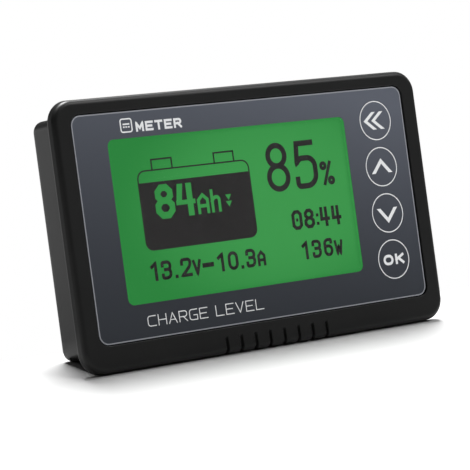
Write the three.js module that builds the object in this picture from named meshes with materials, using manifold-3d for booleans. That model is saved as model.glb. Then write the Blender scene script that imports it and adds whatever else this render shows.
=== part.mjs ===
// Panel-mount display unit of a battery monitor, in millimetres, +Z up.
// X runs across the face, Y runs from the face into the case, Z runs up.
// The pieces are drawn about the middle of the bezel's front face. The assembly is then moved so that the
// origin lies at the bottom centre of the whole object.
import * as THREE from 'three';
import { mergeVertices } from 'three/addons/utils/BufferGeometryUtils.js';
import Module from 'manifold-3d';

const wasm = await Module();
wasm.setup();

// ---- Driving dimensions -------------------------------------------------------------------------------

const BEZEL = { width: 98, height: 58, cornerR: 5, flange: 2.5, edgeR: 0.8, backEdgeR: 0.25 };

// Printed face panel, sunk into the bezel. The bezel shows more below it than above it.
const PANEL = { sideMargin: 4.5, topMargin: 3.5, bottomMargin: 6, cornerR: 2.2, thickness: 0.5, sunk: 0.35 };
const ADHESIVE = { thickness: 0.12, inset: 0.3, openingMargin: 0.3 };

// Clear window, measured from the edges of the panel. The wide margin at the right holds the keys.
const WINDOW = { leftMargin: 8.3, rightMargin: 17.3, topMargin: 5.75, bottomMargin: 7.45, cornerR: 1.5 };
const LENS_THICKNESS = 0.8;

// Liquid crystal display: two glasses, the front one longer at the bottom by the contact ledge.
const GLASS = { margin: 1.5, thickness: 1.1, ledge: 3.5, cornerR: 0.3 };
const POLARISER = { thickness: 0.2, margin: 0.25 };
const LIGHT_GUIDE = { thickness: 2, inset: 0.1, ledStrip: 1.8 };
const REFLECTOR_THICKNESS = 0.2;
const LCD_FRAME = { wall: 0.8, shelf: 1.6, shelfThickness: 0.9 };
const DRIVER_CHIP = { length: 14, height: 1.2, thickness: 0.5 };
const LED = { count: 2, length: 3, thickness: 1.4, depth: 1.4, pitch: 16 };
const FLEX = { width: 30, thickness: 0.15, bendR: 0.6, bond: 0.75, tailRise: 3.3 };
const FLEX_CONNECTOR = { width: 32, height: 4, thickness: 1 };

// Keys: printed discs in the panel, each with a plunger through the bezel and a push switch behind.
const KEY = { discR: 4.55, between: 1.55, fromRight: 8.23, travel: 0.3, names: ['back', 'up', 'down', 'ok'] };
const PLUNGER = { shaftR: 1.5, collarR: 2.3, collarThickness: 0.5, collarSetback: 0.1 };
const SWITCH = { side: 4.5, bodyHeight: 3.3, stemR: 0.9, stemProud: 0.75, stemSunk: 0.65, cornerR: 0.4 };

// Circuit board and the pieces on its back face.
const BOARD = { thickness: 1.6, roomInFront: 1.25, roomBehindParts: 0.65, edgeGap: 0.5, cornerR: 0.8 };
const MCU = { side: 10, thickness: 1.4, x: -14, z: 7, leadsPerSide: 8, leadPitch: 1, leadReach: 1 };
const REGULATOR = { width: 6.5, height: 3.5, thickness: 1.6, x: 24, z: -15, legReach: 1.5, legPitch: 2.3 };
const INDUCTOR = { side: 6, thickness: 3, chamfer: 1.6, x: 14, z: -15 };
const CAN = { baseSide: 5.3, baseThickness: 0.8, r: 2.4, height: 3.6, edgeR: 0.4, x: 23, pitch: 8, z: -6 };
const CRYSTAL = { length: 8, height: 3.4, thickness: 1.5, x: -14, z: -4 };

// Cable socket, open to the rear.
const SOCKET = { width: 12, height: 7, wall: 1, base: 0.9, sunk: 0.2, fromBottom: 11.3 };
const LATCH_NOTCH = { width: 3, depth: 2 };
const CONTACT = { count: 4, pitch: 2.2, width: 0.8, thickness: 0.3, length: 4.7 };

// Rear case and the ring of the bezel that it slides over.
const CASE = { sideInset: 3.5, topInset: 3.1, cornerR: 2.5, wall: 1.6, edgeR: 1, rebate: 0.4 };
const SKIRT = { wall: 1.2, length: 3 };
const BOARD_POST = { r: 1.6, fromSide: 11.9, fromTop: 10.3 };
const KEY_POST_R = 1.1;

// Case screws and the bosses that they go into.
const SCREW = { r: 1, headR: 1.8, headHeight: 1.3, length: 7.4, tip: 0.8, slotWidth: 0.5, slotLength: 2.2 };
const BOSS = { r: 2.1, fromFrame: 0.4, fromTop: 2.7, pilotDepth: 5.1, postR: 2.9, headSeat: 2.6 };

// Grip grooves in the bezel's lower edge.
const GROOVE = { count: 8, pitch: 3.89, width: 1.1, depth: 0.55, height: 3.9, offset: 0.85, backStop: 2.2 };

// ---- Named clearances ---------------------------------------------------------------------------------

const REST_GAP = 0.05; // between pieces that lie on each other
const PANEL_GAP = 0.25; // round the face panel in its recess
const KEY_GAP = 0.05; // round a key disc
const SKIRT_GAP = 0.15; // between the skirt and the case
const REBATE_GAP = 0.15; // round the case's rim in the bezel's rebate
const GLASS_GAP = 0.3; // round the glass in the bezel's opening
const FRAME_GAP = 0.2; // between the glass and the display frame
const PLUNGER_GAP = 0.15; // round a plunger in its guide hole
const STEM_GAP = 0.15; // round a switch stem
const KEY_POCKET_GAP = 0.25; // round a key disc in the bezel's pocket
const TRAVEL_ROOM = 0.1; // left behind a key disc when it is pressed home
const SCREW_GAP = 0.05; // round a screw in its pilot hole
const SCREW_PASS_GAP = 0.2; // round a screw and its head in the case
const NOTCH_GAP = 0.35; // between a boss and the board
const SOCKET_GAP = 0.2; // round the socket in the case's slot
const CUT = 1; // how far a cutter runs past what it cuts

const SIDES = { fine: 48, round: 24, small: 16 };
const CORNERS = [[-1, 1], [1, 1], [-1, -1], [1, -1]]; // signs of X and Z

// ---- Places that follow from the dimensions -----------------------------------------------------------

const panelWidth = BEZEL.width - 2 * PANEL.sideMargin;
const panelHeight = BEZEL.height - PANEL.topMargin - PANEL.bottomMargin;
const panelMiddleZ = (PANEL.bottomMargin - PANEL.topMargin) / 2;
const panelFront = PANEL.sunk;
const panelBack = panelFront + PANEL.thickness;
const adhesiveFront = panelBack + REST_GAP;
const recessFloor = adhesiveFront + ADHESIVE.thickness + REST_GAP;
const flangeBack = BEZEL.flange;

const windowWidth = panelWidth - WINDOW.leftMargin - WINDOW.rightMargin;
const windowHeight = panelHeight - WINDOW.topMargin - WINDOW.bottomMargin;
const windowX = (WINDOW.leftMargin - WINDOW.rightMargin) / 2;
const windowZ = panelMiddleZ + (WINDOW.bottomMargin - WINDOW.topMargin) / 2;
const lensBack = panelFront + LENS_THICKNESS;
const frontPolariser = lensBack + REST_GAP;
const frontGlass = frontPolariser + POLARISER.thickness + REST_GAP;
const frontGlassBack = frontGlass + GLASS.thickness;
const rearGlass = frontGlassBack + REST_GAP;
const rearPolariser = rearGlass + GLASS.thickness + REST_GAP;
const lightGuide = rearPolariser + POLARISER.thickness + REST_GAP;
const reflector = lightGuide + LIGHT_GUIDE.thickness + REST_GAP;
const reflectorBack = reflector + REFLECTOR_THICKNESS;
const frameFront = Math.max(frontGlassBack, flangeBack) + REST_GAP;

const glassWidth = windowWidth + 2 * GLASS.margin;
const glassHeight = windowHeight + 2 * GLASS.margin;
const glassTop = windowZ + glassHeight / 2;
const glassBottom = windowZ - glassHeight / 2;
const ledgeBottom = glassBottom - GLASS.ledge;
const longGlassHeight = glassHeight + GLASS.ledge;
const longGlassZ = (glassTop + ledgeBottom) / 2;
const frameLeft = windowX - glassWidth / 2 - FRAME_GAP - LCD_FRAME.wall;

// The board lies behind the deeper of two stacks: the display, or a key's plunger and switch.
const collarFront = flangeBack + PLUNGER.collarSetback;
const collarBack = collarFront + PLUNGER.collarThickness;
const switchStack = SWITCH.stemProud + SWITCH.bodyHeight + 2 * REST_GAP;
const boardFront = Math.max(reflectorBack + BOARD.roomInFront, collarBack + switchStack);
const boardBack = boardFront + BOARD.thickness;
const onBoard = boardBack + REST_GAP;
const rebateFloor = flangeBack - CASE.rebate;
const caseFront = rebateFloor + REST_GAP;
const caseInnerBack = onBoard + Math.max(CAN.height, INDUCTOR.thickness) + BOARD.roomBehindParts;
const totalDepth = caseInnerBack + CASE.wall;
const caseWidth = BEZEL.width - 2 * CASE.sideInset;
const caseHeight = BEZEL.height - 2 * CASE.topInset;
const innerWidth = caseWidth - 2 * CASE.wall;
const innerHeight = caseHeight - 2 * CASE.wall;
const innerCornerR = CASE.cornerR - CASE.wall + SKIRT_GAP;
const skirtWidth = innerWidth - 2 * SKIRT_GAP;
const skirtHeight = innerHeight - 2 * SKIRT_GAP;

const keyX = panelWidth / 2 - KEY.fromRight;
const keyPitch = 2 * KEY.discR + KEY.between;
const keyPlaces = KEY.names.map((name, i) => {
  const fromMiddle = (KEY.names.length - 1) / 2 - i;
  return { name, x: keyX, z: windowZ + fromMiddle * keyPitch };
});
const keyPocketFloor = Math.max(panelBack + KEY.travel + TRAVEL_ROOM, recessFloor + REST_GAP);
const switchFront = boardFront - REST_GAP - SWITCH.bodyHeight;
const stemFront = switchFront - SWITCH.stemProud;

const bossX = -frameLeft + BOSS.fromFrame + BOSS.r;
const bossZ = innerHeight / 2 - BOSS.fromTop;
const bossPlaces = CORNERS.map(([sx, sz]) => ({ x: sx * bossX, z: sz * bossZ }));
const bossBack = boardBack + NOTCH_GAP;
const headSeat = totalDepth - BOSS.headSeat;
const socketZ = -innerHeight / 2 + SOCKET.fromBottom;

// ---- Shape helpers ------------------------------------------------------------------------------------

// A closed geometry as a solid that can be joined and cut.
function solid(geometry) {
  const bare = geometry.clone();
  bare.deleteAttribute('normal');
  bare.deleteAttribute('uv');
  const merged = mergeVertices(bare, 1e-4);
  const vertProperties = new Float32Array(merged.attributes.position.array);
  const triVerts = new Uint32Array(merged.index.array);
  return new wasm.Manifold(new wasm.Mesh({ numProp: 3, vertProperties, triVerts }));
}

function meshOf(name, body, material) {
  const { vertProperties, triVerts } = body.getMesh();
  const geometry = new THREE.BufferGeometry();
  geometry.setAttribute('position', new THREE.BufferAttribute(new Float32Array(vertProperties), 3));
  geometry.setIndex(new THREE.BufferAttribute(new Uint32Array(triVerts), 1));
  geometry.computeVertexNormals();
  const mesh = new THREE.Mesh(geometry, material);
  mesh.name = name;
  return mesh;
}

// Rounded rectangle as a list of points, anticlockwise when seen with X right and Z up.
function outline(width, height, r, x = 0, z = 0, steps = 6) {
  const points = [];
  const corners = [[1, 1, 0], [-1, 1, 1], [-1, -1, 2], [1, -1, 3]];
  for (const [sx, sz, quarter] of corners) {
    const cx = x + sx * (width / 2 - r);
    const cz = z + sz * (height / 2 - r);
    for (let i = 0; i <= steps; i += 1) {
      const angle = (quarter + i / steps) * Math.PI / 2;
      points.push(new THREE.Vector2(cx + r * Math.cos(angle), cz + r * Math.sin(angle)));
    }
  }
  return points;
}

// A shape in X and Z, pulled from y0 to y1.
function pull(shape, y0, y1) {
  const geometry = new THREE.ExtrudeGeometry(shape, { depth: y1 - y0, bevelEnabled: false });
  geometry.rotateX(Math.PI / 2);
  geometry.translate(0, y1, 0);
  return solid(geometry);
}

function slab(width, height, r, y0, y1, x = 0, z = 0) {
  return pull(new THREE.Shape(outline(width, height, r, x, z)), y0, y1);
}

function block(width, height, y0, y1, x = 0, z = 0) {
  const geometry = new THREE.BoxGeometry(width, y1 - y0, height);
  geometry.translate(x, (y0 + y1) / 2, z);
  return solid(geometry);
}

function rod(r, y0, y1, x, z, sides = SIDES.round) {
  const geometry = new THREE.CylinderGeometry(r, r, y1 - y0, sides);
  geometry.translate(x, (y0 + y1) / 2, z);
  return solid(geometry);
}

// A shape in Y and Z, pulled along X about x.
function pullAcross(points, width, x) {
  const shape = new THREE.Shape(points.map(([y, z]) => new THREE.Vector2(y, z)));
  const geometry = new THREE.ExtrudeGeometry(shape, { depth: width, bevelEnabled: false });
  geometry.rotateZ(Math.PI / 2);
  geometry.rotateY(Math.PI / 2);
  geometry.translate(x - width / 2, 0, 0);
  return solid(geometry);
}

// Skin over convex outlines of equal length, each at its own depth, closed at both ends.
function loft(sections) {
  const count = sections[0].points.length;
  const positions = [];
  for (const { points, y } of sections) {
    for (const p of points) positions.push(p.x, y, p.y);
  }
  const index = [];
  for (let s = 0; s + 1 < sections.length; s += 1) {
    for (let i = 0; i < count; i += 1) {
      const a = s * count + i;
      const b = s * count + (i + 1) % count;
      index.push(a, a + count, b, b, a + count, b + count);
    }
  }
  const last = (sections.length - 1) * count;
  for (let i = 1; i + 1 < count; i += 1) {
    index.push(0, i, i + 1);
    index.push(last, last + i + 1, last + i);
  }
  const geometry = new THREE.BufferGeometry();
  geometry.setAttribute('position', new THREE.Float32BufferAttribute(positions, 3));
  geometry.setIndex(index);
  return solid(geometry);
}

// Rounded slab whose front and back edges are rounded too.
function softSlab({ width, height, cornerR, y0, y1, frontR, backR }) {
  const steps = 4;
  const sections = [];
  const section = (inset, y) => {
    const points = outline(width - 2 * inset, height - 2 * inset, cornerR - inset);
    sections.push({ points, y });
  };
  for (let i = 0; i <= steps; i += 1) {
    const angle = (i / steps) * Math.PI / 2;
    section(frontR * (1 - Math.sin(angle)), y0 + frontR * (1 - Math.cos(angle)));
  }
  for (let i = steps; i >= 0; i -= 1) {
    const angle = (i / steps) * Math.PI / 2;
    section(backR * (1 - Math.sin(angle)), y1 - backR * (1 - Math.cos(angle)));
  }
  return loft(sections);
}

const joined = (bodies) => bodies.reduce((whole, body) => whole.add(body));
const cutBy = (body, cutters) => cutters.reduce((rest, cutter) => rest.subtract(cutter), body);

// ---- Materials ----------------------------------------------------------------------------------------

const finish = (color, roughness, metalness = 0) => (
  new THREE.MeshStandardMaterial({ color, roughness, metalness })
);
const clear = (color, opacity) => new THREE.MeshStandardMaterial({
  color, roughness: 0.08, metalness: 0, transparent: true, opacity,
});

const MATERIALS = {
  blackPlastic: finish(0x232426, 0.45),
  panelFilm: finish(0x454850, 0.5),
  adhesive: finish(0xb9b6aa, 0.9),
  lens: clear(0xdfe6e4, 0.2),
  glass: clear(0xcfe3da, 0.35),
  polariser: clear(0x3a9a47, 0.5),
  lightGuide: finish(0x46b455, 0.35),
  whitePlastic: finish(0xe4e4df, 0.6),
  board: finish(0x1f5a38, 0.55),
  chip: finish(0x1b1b1d, 0.5),
  flex: finish(0xb8742c, 0.5),
  ivoryPlastic: finish(0xd9d3c0, 0.55),
  metalCan: finish(0xb9bcc0, 0.35, 0.9),
  gold: finish(0xc9a24a, 0.3, 1),
  steel: finish(0x9a9da1, 0.35, 1),
  switchBody: finish(0x2c2d2f, 0.55),
  plunger: finish(0x3a3b3e, 0.6),
};

// ---- Housing ------------------------------------------------------------------------------------------

function gripGroove(x) {
  const bottom = -BEZEL.height / 2;
  const top = bottom + GROOVE.height;
  const floor = bottom + GROOVE.depth;
  const profile = [
    [-CUT, top], [0, top], [GROOVE.depth, top - GROOVE.depth], [GROOVE.depth, floor],
    [GROOVE.backStop - GROOVE.depth, floor], [GROOVE.backStop, bottom], [GROOVE.backStop, bottom - CUT],
    [-CUT, bottom - CUT],
  ];
  return pullAcross(profile, GROOVE.width, x);
}

function frontBezel() {
  const plate = softSlab({
    width: BEZEL.width, height: BEZEL.height, cornerR: BEZEL.cornerR,
    y0: 0, y1: flangeBack, frontR: BEZEL.edgeR, backR: BEZEL.backEdgeR,
  });
  const root = (recessFloor + flangeBack) / 2;
  const skirtBack = flangeBack + SKIRT.length;
  const skirtRing = slab(skirtWidth, skirtHeight, innerCornerR, root, skirtBack).subtract(
    slab(skirtWidth - 2 * SKIRT.wall, skirtHeight - 2 * SKIRT.wall, 0.5, root - CUT, skirtBack + CUT),
  );
  const insideSkirt = slab(skirtWidth, skirtHeight, innerCornerR, root, bossBack);
  const bosses = bossPlaces.map(({ x, z }) => rod(BOSS.r, root, bossBack, x, z).intersect(insideSkirt));
  const keyPosts = [0, keyPlaces.length - 2].map((i) => {
    const frameRight = 2 * windowX - frameLeft;
    const x = (frameRight + keyX - SWITCH.side / 2) / 2;
    const z = (keyPlaces[i].z + keyPlaces[i + 1].z) / 2;
    return rod(KEY_POST_R, root, boardFront - REST_GAP, x, z, SIDES.small);
  });

  const rebate = slab(
    caseWidth + 2 * REBATE_GAP, caseHeight + 2 * REBATE_GAP, CASE.cornerR + REBATE_GAP,
    rebateFloor, flangeBack + CUT,
  ).subtract(slab(skirtWidth, skirtHeight, innerCornerR, rebateFloor - CUT, flangeBack + 2 * CUT));
  const recess = slab(
    panelWidth + 2 * PANEL_GAP, panelHeight + 2 * PANEL_GAP, PANEL.cornerR + PANEL_GAP,
    -CUT, recessFloor, 0, panelMiddleZ,
  );
  const displayOpening = slab(
    glassWidth + 2 * GLASS_GAP, longGlassHeight + 2 * GLASS_GAP, GLASS.cornerR + GLASS_GAP,
    0, flangeBack + CUT, windowX, longGlassZ,
  );
  const keyPockets = keyPlaces.map(({ x, z }) => (
    rod(KEY.discR + KEY_POCKET_GAP, 0, keyPocketFloor, x, z, SIDES.fine)
  ));
  const guideR = PLUNGER.shaftR + PLUNGER_GAP;
  const guideHoles = keyPlaces.map(({ x, z }) => rod(guideR, 0, flangeBack + CUT, x, z));
  const pilotHoles = bossPlaces.map(({ x, z }) => (
    rod(SCREW.r + SCREW_GAP, bossBack - BOSS.pilotDepth, bossBack + CUT, x, z, SIDES.small)
  ));
  const grooves = Array.from({ length: GROOVE.count }, (_, i) => (
    gripGroove(GROOVE.offset + (i - (GROOVE.count - 1) / 2) * GROOVE.pitch)
  ));
  const whole = joined([plate, skirtRing, ...bosses, ...keyPosts]);
  const holes = [displayOpening, ...keyPockets, ...guideHoles, ...pilotHoles];
  return meshOf('front_bezel', cutBy(whole, [rebate, recess, ...holes, ...grooves]), MATERIALS.blackPlastic);
}

function rearCase() {
  const shell = softSlab({
    width: caseWidth, height: caseHeight, cornerR: CASE.cornerR,
    y0: caseFront, y1: totalDepth, frontR: 0.1, backR: CASE.edgeR,
  });
  const hollow = slab(innerWidth, innerHeight, innerCornerR, caseFront - CUT, caseInnerBack);
  const root = caseInnerBack + CASE.wall / 2;
  const inside = slab(caseWidth - CASE.wall, caseHeight - CASE.wall, CASE.wall, caseFront, root);
  const screwPosts = bossPlaces.map(({ x, z }) => (
    rod(BOSS.postR, bossBack + REST_GAP, root, x, z).intersect(inside)
  ));
  const postX = innerWidth / 2 - BOARD_POST.fromSide;
  const postZ = innerHeight / 2 - BOARD_POST.fromTop;
  const boardPosts = CORNERS.map(([sx, sz]) => (
    rod(BOARD_POST.r, onBoard, root, sx * postX, sz * postZ, SIDES.small)
  ));
  const screwPasses = bossPlaces.map(({ x, z }) => (
    rod(SCREW.r + SCREW_PASS_GAP, bossBack, totalDepth + CUT, x, z, SIDES.small)
  ));
  const counterbores = bossPlaces.map(({ x, z }) => (
    rod(SCREW.headR + SCREW_PASS_GAP, headSeat, totalDepth + CUT, x, z)
  ));
  const socketSlot = slab(
    SOCKET.width + 2 * SOCKET_GAP, SOCKET.height + 2 * SOCKET_GAP, 0.5,
    caseInnerBack - CUT, totalDepth + CUT, 0, socketZ,
  );
  const whole = joined([shell.subtract(hollow), ...screwPosts, ...boardPosts]);
  const cutters = [...screwPasses, ...counterbores, socketSlot];
  return meshOf('rear_case', cutBy(whole, cutters), MATERIALS.blackPlastic);
}

function caseScrew(place, number) {
  const seat = headSeat + REST_GAP;
  const headBack = seat + SCREW.headHeight;
  const tipEnd = seat - SCREW.length;
  const crown = SCREW.headHeight * 0.4;
  const profile = [
    [0, tipEnd], [SCREW.r * 0.3, tipEnd], [SCREW.r, tipEnd + SCREW.tip], [SCREW.r, seat],
    [SCREW.headR, seat], [SCREW.headR, headBack - crown], [SCREW.headR * 0.7, headBack], [0, headBack],
  ];
  const geometry = new THREE.LatheGeometry(profile.map(([r, y]) => new THREE.Vector2(r, y)), SIDES.small);
  geometry.translate(place.x, 0, place.z);
  const slots = [[SCREW.slotLength, SCREW.slotWidth], [SCREW.slotWidth, SCREW.slotLength]].map(([w, h]) => (
    block(w, h, headBack - SCREW.headHeight / 2, headBack + CUT, place.x, place.z)
  ));
  return meshOf(`case_screw_${number}`, cutBy(solid(geometry), slots), MATERIALS.steel);
}

// ---- Face panel, window and display -------------------------------------------------------------------

function facePanel() {
  const film = slab(panelWidth, panelHeight, PANEL.cornerR, panelFront, panelBack, 0, panelMiddleZ);
  const window = slab(
    windowWidth, windowHeight, WINDOW.cornerR, panelFront - CUT, panelBack + CUT, windowX, windowZ,
  );
  const keyHoles = keyPlaces.map(({ x, z }) => (
    rod(KEY.discR + KEY_GAP, panelFront - CUT, panelBack + CUT, x, z, SIDES.fine)
  ));
  return meshOf('face_panel', cutBy(film, [window, ...keyHoles]), MATERIALS.panelFilm);
}

function panelAdhesive() {
  const back = adhesiveFront + ADHESIVE.thickness;
  const sheet = slab(
    panelWidth - 2 * ADHESIVE.inset, panelHeight - 2 * ADHESIVE.inset, PANEL.cornerR - ADHESIVE.inset,
    adhesiveFront, back, 0, panelMiddleZ,
  );
  const margin = GLASS_GAP + ADHESIVE.openingMargin;
  const opening = slab(
    glassWidth + 2 * margin, longGlassHeight + 2 * margin, GLASS.cornerR + margin,
    adhesiveFront - CUT, back + CUT, windowX, longGlassZ,
  );
  const keyHoles = keyPlaces.map(({ x, z }) => (
    rod(KEY.discR + KEY_POCKET_GAP, adhesiveFront - CUT, back + CUT, x, z, SIDES.fine)
  ));
  return meshOf('panel_adhesive', cutBy(sheet, [opening, ...keyHoles]), MATERIALS.adhesive);
}

function windowLens() {
  const lens = slab(
    windowWidth - 2 * REST_GAP, windowHeight - 2 * REST_GAP, WINDOW.cornerR - REST_GAP,
    panelFront, lensBack, windowX, windowZ,
  );
  return meshOf('window_lens', lens, MATERIALS.lens);
}

function polariser(name, y) {
  const margin = POLARISER.margin;
  const sheet = slab(
    windowWidth + 2 * margin, windowHeight + 2 * margin, GLASS.cornerR,
    y, y + POLARISER.thickness, windowX, windowZ,
  );
  return meshOf(name, sheet, MATERIALS.polariser);
}

function glass(name, height, z, y) {
  const sheet = slab(glassWidth, height, GLASS.cornerR, y, y + GLASS.thickness, windowX, z);
  return meshOf(name, sheet, MATERIALS.glass);
}

function backlight() {
  const guideWidth = glassWidth - 2 * LIGHT_GUIDE.inset - LIGHT_GUIDE.ledStrip;
  const guideX = windowX + LIGHT_GUIDE.ledStrip / 2;
  const guide = slab(
    guideWidth, glassHeight - 2 * LIGHT_GUIDE.inset, GLASS.cornerR,
    lightGuide, lightGuide + LIGHT_GUIDE.thickness, guideX, windowZ,
  );
  const sheet = slab(
    glassWidth - 2 * LIGHT_GUIDE.inset, glassHeight - 2 * LIGHT_GUIDE.inset, GLASS.cornerR,
    reflector, reflectorBack, windowX, windowZ,
  );
  const ledX = windowX - glassWidth / 2 + LIGHT_GUIDE.inset + LED.depth / 2;
  const ledY = lightGuide + (LIGHT_GUIDE.thickness - LED.thickness) / 2;
  const leds = Array.from({ length: LED.count }, (_, i) => {
    const z = windowZ + (i - (LED.count - 1) / 2) * LED.pitch;
    const body = block(LED.depth, LED.length, ledY, ledY + LED.thickness, ledX, z);
    return meshOf(`backlight_led_${i + 1}`, body, MATERIALS.whitePlastic);
  });
  return [
    meshOf('lcd_light_guide', guide, MATERIALS.lightGuide),
    meshOf('lcd_reflector', sheet, MATERIALS.whitePlastic),
    ...leds,
  ];
}

function lcdFrame() {
  const front = frameFront;
  const back = boardFront - REST_GAP;
  const grow = 2 * (FRAME_GAP + LCD_FRAME.wall);
  const outer = slab(
    glassWidth + grow, longGlassHeight + grow, LCD_FRAME.wall, front, back, windowX, longGlassZ,
  );
  const hollow = slab(
    glassWidth + 2 * FRAME_GAP, longGlassHeight + 2 * FRAME_GAP, GLASS.cornerR,
    front - CUT, back - LCD_FRAME.shelfThickness, windowX, longGlassZ,
  );
  const openingTop = glassTop - LCD_FRAME.shelf;
  const openingBottom = ledgeBottom - FRAME_GAP;
  const opening = slab(
    glassWidth - 2 * LCD_FRAME.shelf, openingTop - openingBottom, GLASS.cornerR,
    front, back + CUT, windowX, (openingTop + openingBottom) / 2,
  );
  return meshOf('lcd_frame', cutBy(outer, [hollow, opening]), MATERIALS.ivoryPlastic);
}

function driverChip() {
  const y = frontGlassBack + REST_GAP;
  const z = glassBottom - REST_GAP - DRIVER_CHIP.height / 2;
  const body = block(DRIVER_CHIP.length, DRIVER_CHIP.height, y, y + DRIVER_CHIP.thickness, windowX, z);
  return meshOf('lcd_driver_chip', body, MATERIALS.chip);
}

// The ribbon is bonded to the ledge, bends back over its end and turns up to its connector on the board.
function flexPath() {
  const half = FLEX.thickness / 2;
  const r = FLEX.bendR;
  const bondY = frontGlassBack + REST_GAP + half;
  const bondTop = glassBottom - 2 * REST_GAP - DRIVER_CHIP.height - REST_GAP;
  const lowZ = bondTop - FLEX.bond - r;
  const tailY = (reflectorBack + boardFront) / 2;
  const path = [[bondY, bondTop]];
  const bend = (cy, cz, from) => {
    for (let i = 0; i <= 4; i += 1) {
      const angle = from + (i / 4) * Math.PI / 2;
      path.push([cy + r * Math.cos(angle), cz + r * Math.sin(angle)]);
    }
  };
  bend(bondY + r, lowZ + r, Math.PI);
  bend(tailY - r, lowZ + r, 1.5 * Math.PI);
  path.push([tailY, lowZ + r + FLEX.tailRise]);
  return path;
}

function lcdFlex() {
  const path = flexPath();
  const half = FLEX.thickness / 2;
  const offset = (side) => path.map(([y, z], i) => {
    const [py, pz] = path[Math.max(i - 1, 0)];
    const [ny, nz] = path[Math.min(i + 1, path.length - 1)];
    const run = Math.hypot(ny - py, nz - pz);
    return [y - side * half * (nz - pz) / run, z + side * half * (ny - py) / run];
  });
  const ribbon = pullAcross([...offset(-1), ...offset(1).reverse()], FLEX.width, windowX);
  return meshOf('lcd_flex_cable', ribbon, MATERIALS.flex);
}

function flexConnector() {
  const [, tailTop] = flexPath().at(-1);
  const back = boardFront - REST_GAP;
  const z = tailTop + REST_GAP + FLEX_CONNECTOR.height / 2;
  const { width, height, thickness } = FLEX_CONNECTOR;
  const body = block(width, height, back - thickness, back, windowX, z);
  return meshOf('flex_connector', body, MATERIALS.ivoryPlastic);
}

// ---- Circuit board ------------------------------------------------------------------------------------

function mainBoard() {
  const width = innerWidth - 2 * BOARD.edgeGap;
  const height = innerHeight - 2 * BOARD.edgeGap;
  const board = slab(width, height, BOARD.cornerR, boardFront, boardBack);
  const reach = BOSS.r + NOTCH_GAP;
  const notches = bossPlaces.map(({ x, z }) => {
    const notchX = x + Math.sign(x) * CUT;
    const notchZ = z + Math.sign(z) * CUT;
    return block(2 * (reach + CUT), 2 * (reach + CUT), boardFront - CUT, boardBack + CUT, notchX, notchZ);
  });
  return meshOf('main_board', cutBy(board, notches), MATERIALS.board);
}

function mcuChip() {
  const body = slab(MCU.side, MCU.side, 0.3, onBoard, onBoard + MCU.thickness, MCU.x, MCU.z);
  const span = MCU.side + 2 * MCU.leadReach;
  const leads = [];
  for (let i = 0; i < MCU.leadsPerSide; i += 1) {
    const along = (i - (MCU.leadsPerSide - 1) / 2) * MCU.leadPitch;
    const thick = MCU.leadPitch * 0.2;
    leads.push(block(span, MCU.leadPitch * 0.4, onBoard, onBoard + thick, MCU.x, MCU.z + along));
    leads.push(block(MCU.leadPitch * 0.4, span, onBoard, onBoard + thick, MCU.x + along, MCU.z));
  }
  return meshOf('mcu_chip', joined([body, ...leads]), MATERIALS.chip);
}

function voltageRegulator() {
  const { width, height, thickness, x, z, legReach, legPitch } = REGULATOR;
  const body = slab(width, height, 0.2, onBoard, onBoard + thickness, x, z);
  const legs = [-1, 0, 1].map((i) => (
    block(0.8, legReach + 1, onBoard, onBoard + 0.3, x + i * legPitch, z - (height + legReach - 1) / 2)
  ));
  const tab = block(3, legReach + 1, onBoard, onBoard + 0.3, x, z + (height + legReach - 1) / 2);
  return meshOf('voltage_regulator', joined([body, ...legs, tab]), MATERIALS.chip);
}

function powerInductor() {
  const { side, thickness, chamfer, x, z } = INDUCTOR;
  const h = side / 2;
  const c = h - chamfer;
  const points = [[h, -c], [h, c], [c, h], [-c, h], [-h, c], [-h, -c], [-c, -h], [c, -h]];
  const shape = new THREE.Shape(points.map(([px, pz]) => new THREE.Vector2(x + px, z + pz)));
  return meshOf('power_inductor', pull(shape, onBoard, onBoard + thickness), MATERIALS.chip);
}

function canCapacitor(name, number) {
  const z = CAN.z + number * CAN.pitch;
  const base = slab(CAN.baseSide, CAN.baseSide, 0.6, onBoard, onBoard + CAN.baseThickness, CAN.x, z);
  const top = onBoard + CAN.height;
  const profile = [
    [0, onBoard], [CAN.r, onBoard], [CAN.r, top - CAN.edgeR], [CAN.r - CAN.edgeR, top], [0, top],
  ];
  const can = new THREE.LatheGeometry(profile.map(([r, y]) => new THREE.Vector2(r, y)), SIDES.round);
  can.translate(CAN.x, 0, z);
  return meshOf(name, base.add(solid(can)), MATERIALS.metalCan);
}

function clockCrystal() {
  const { length, height, thickness, x, z } = CRYSTAL;
  const body = slab(length, height, height / 2 - 0.1, onBoard, onBoard + thickness, x, z);
  return meshOf('clock_crystal', body, MATERIALS.metalCan);
}

const contactX = (i) => (i - (CONTACT.count - 1) / 2) * CONTACT.pitch;

function cableSocket() {
  const back = totalDepth - SOCKET.sunk;
  const { wall, width, height } = SOCKET;
  const body = slab(width, height, 0.4, onBoard, back, 0, socketZ);
  const cavity = block(width - 2 * wall, height - 2 * wall, onBoard + SOCKET.base, back + CUT, 0, socketZ);
  const latchZ = socketZ + (height - wall) / 2;
  const latch = block(LATCH_NOTCH.width, wall + CUT, back - LATCH_NOTCH.depth, back + CUT, 0, latchZ);
  const contactZ = socketZ - height / 2 + wall + CONTACT.thickness / 2;
  const slots = Array.from({ length: CONTACT.count }, (_, i) => block(
    CONTACT.width + 2 * REST_GAP, CONTACT.thickness + 4 * REST_GAP,
    onBoard - CUT, onBoard + SOCKET.base + REST_GAP, contactX(i), contactZ + REST_GAP,
  ));
  return meshOf('cable_socket', cutBy(body, [cavity, latch, ...slots]), MATERIALS.ivoryPlastic);
}

function socketContact(i) {
  const z = socketZ - SOCKET.height / 2 + SOCKET.wall + REST_GAP + CONTACT.thickness / 2;
  const blade = block(CONTACT.width, CONTACT.thickness, onBoard, onBoard + CONTACT.length, contactX(i), z);
  return meshOf(`socket_contact_${i + 1}`, blade, MATERIALS.gold);
}

// ---- Keys ---------------------------------------------------------------------------------------------

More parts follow.
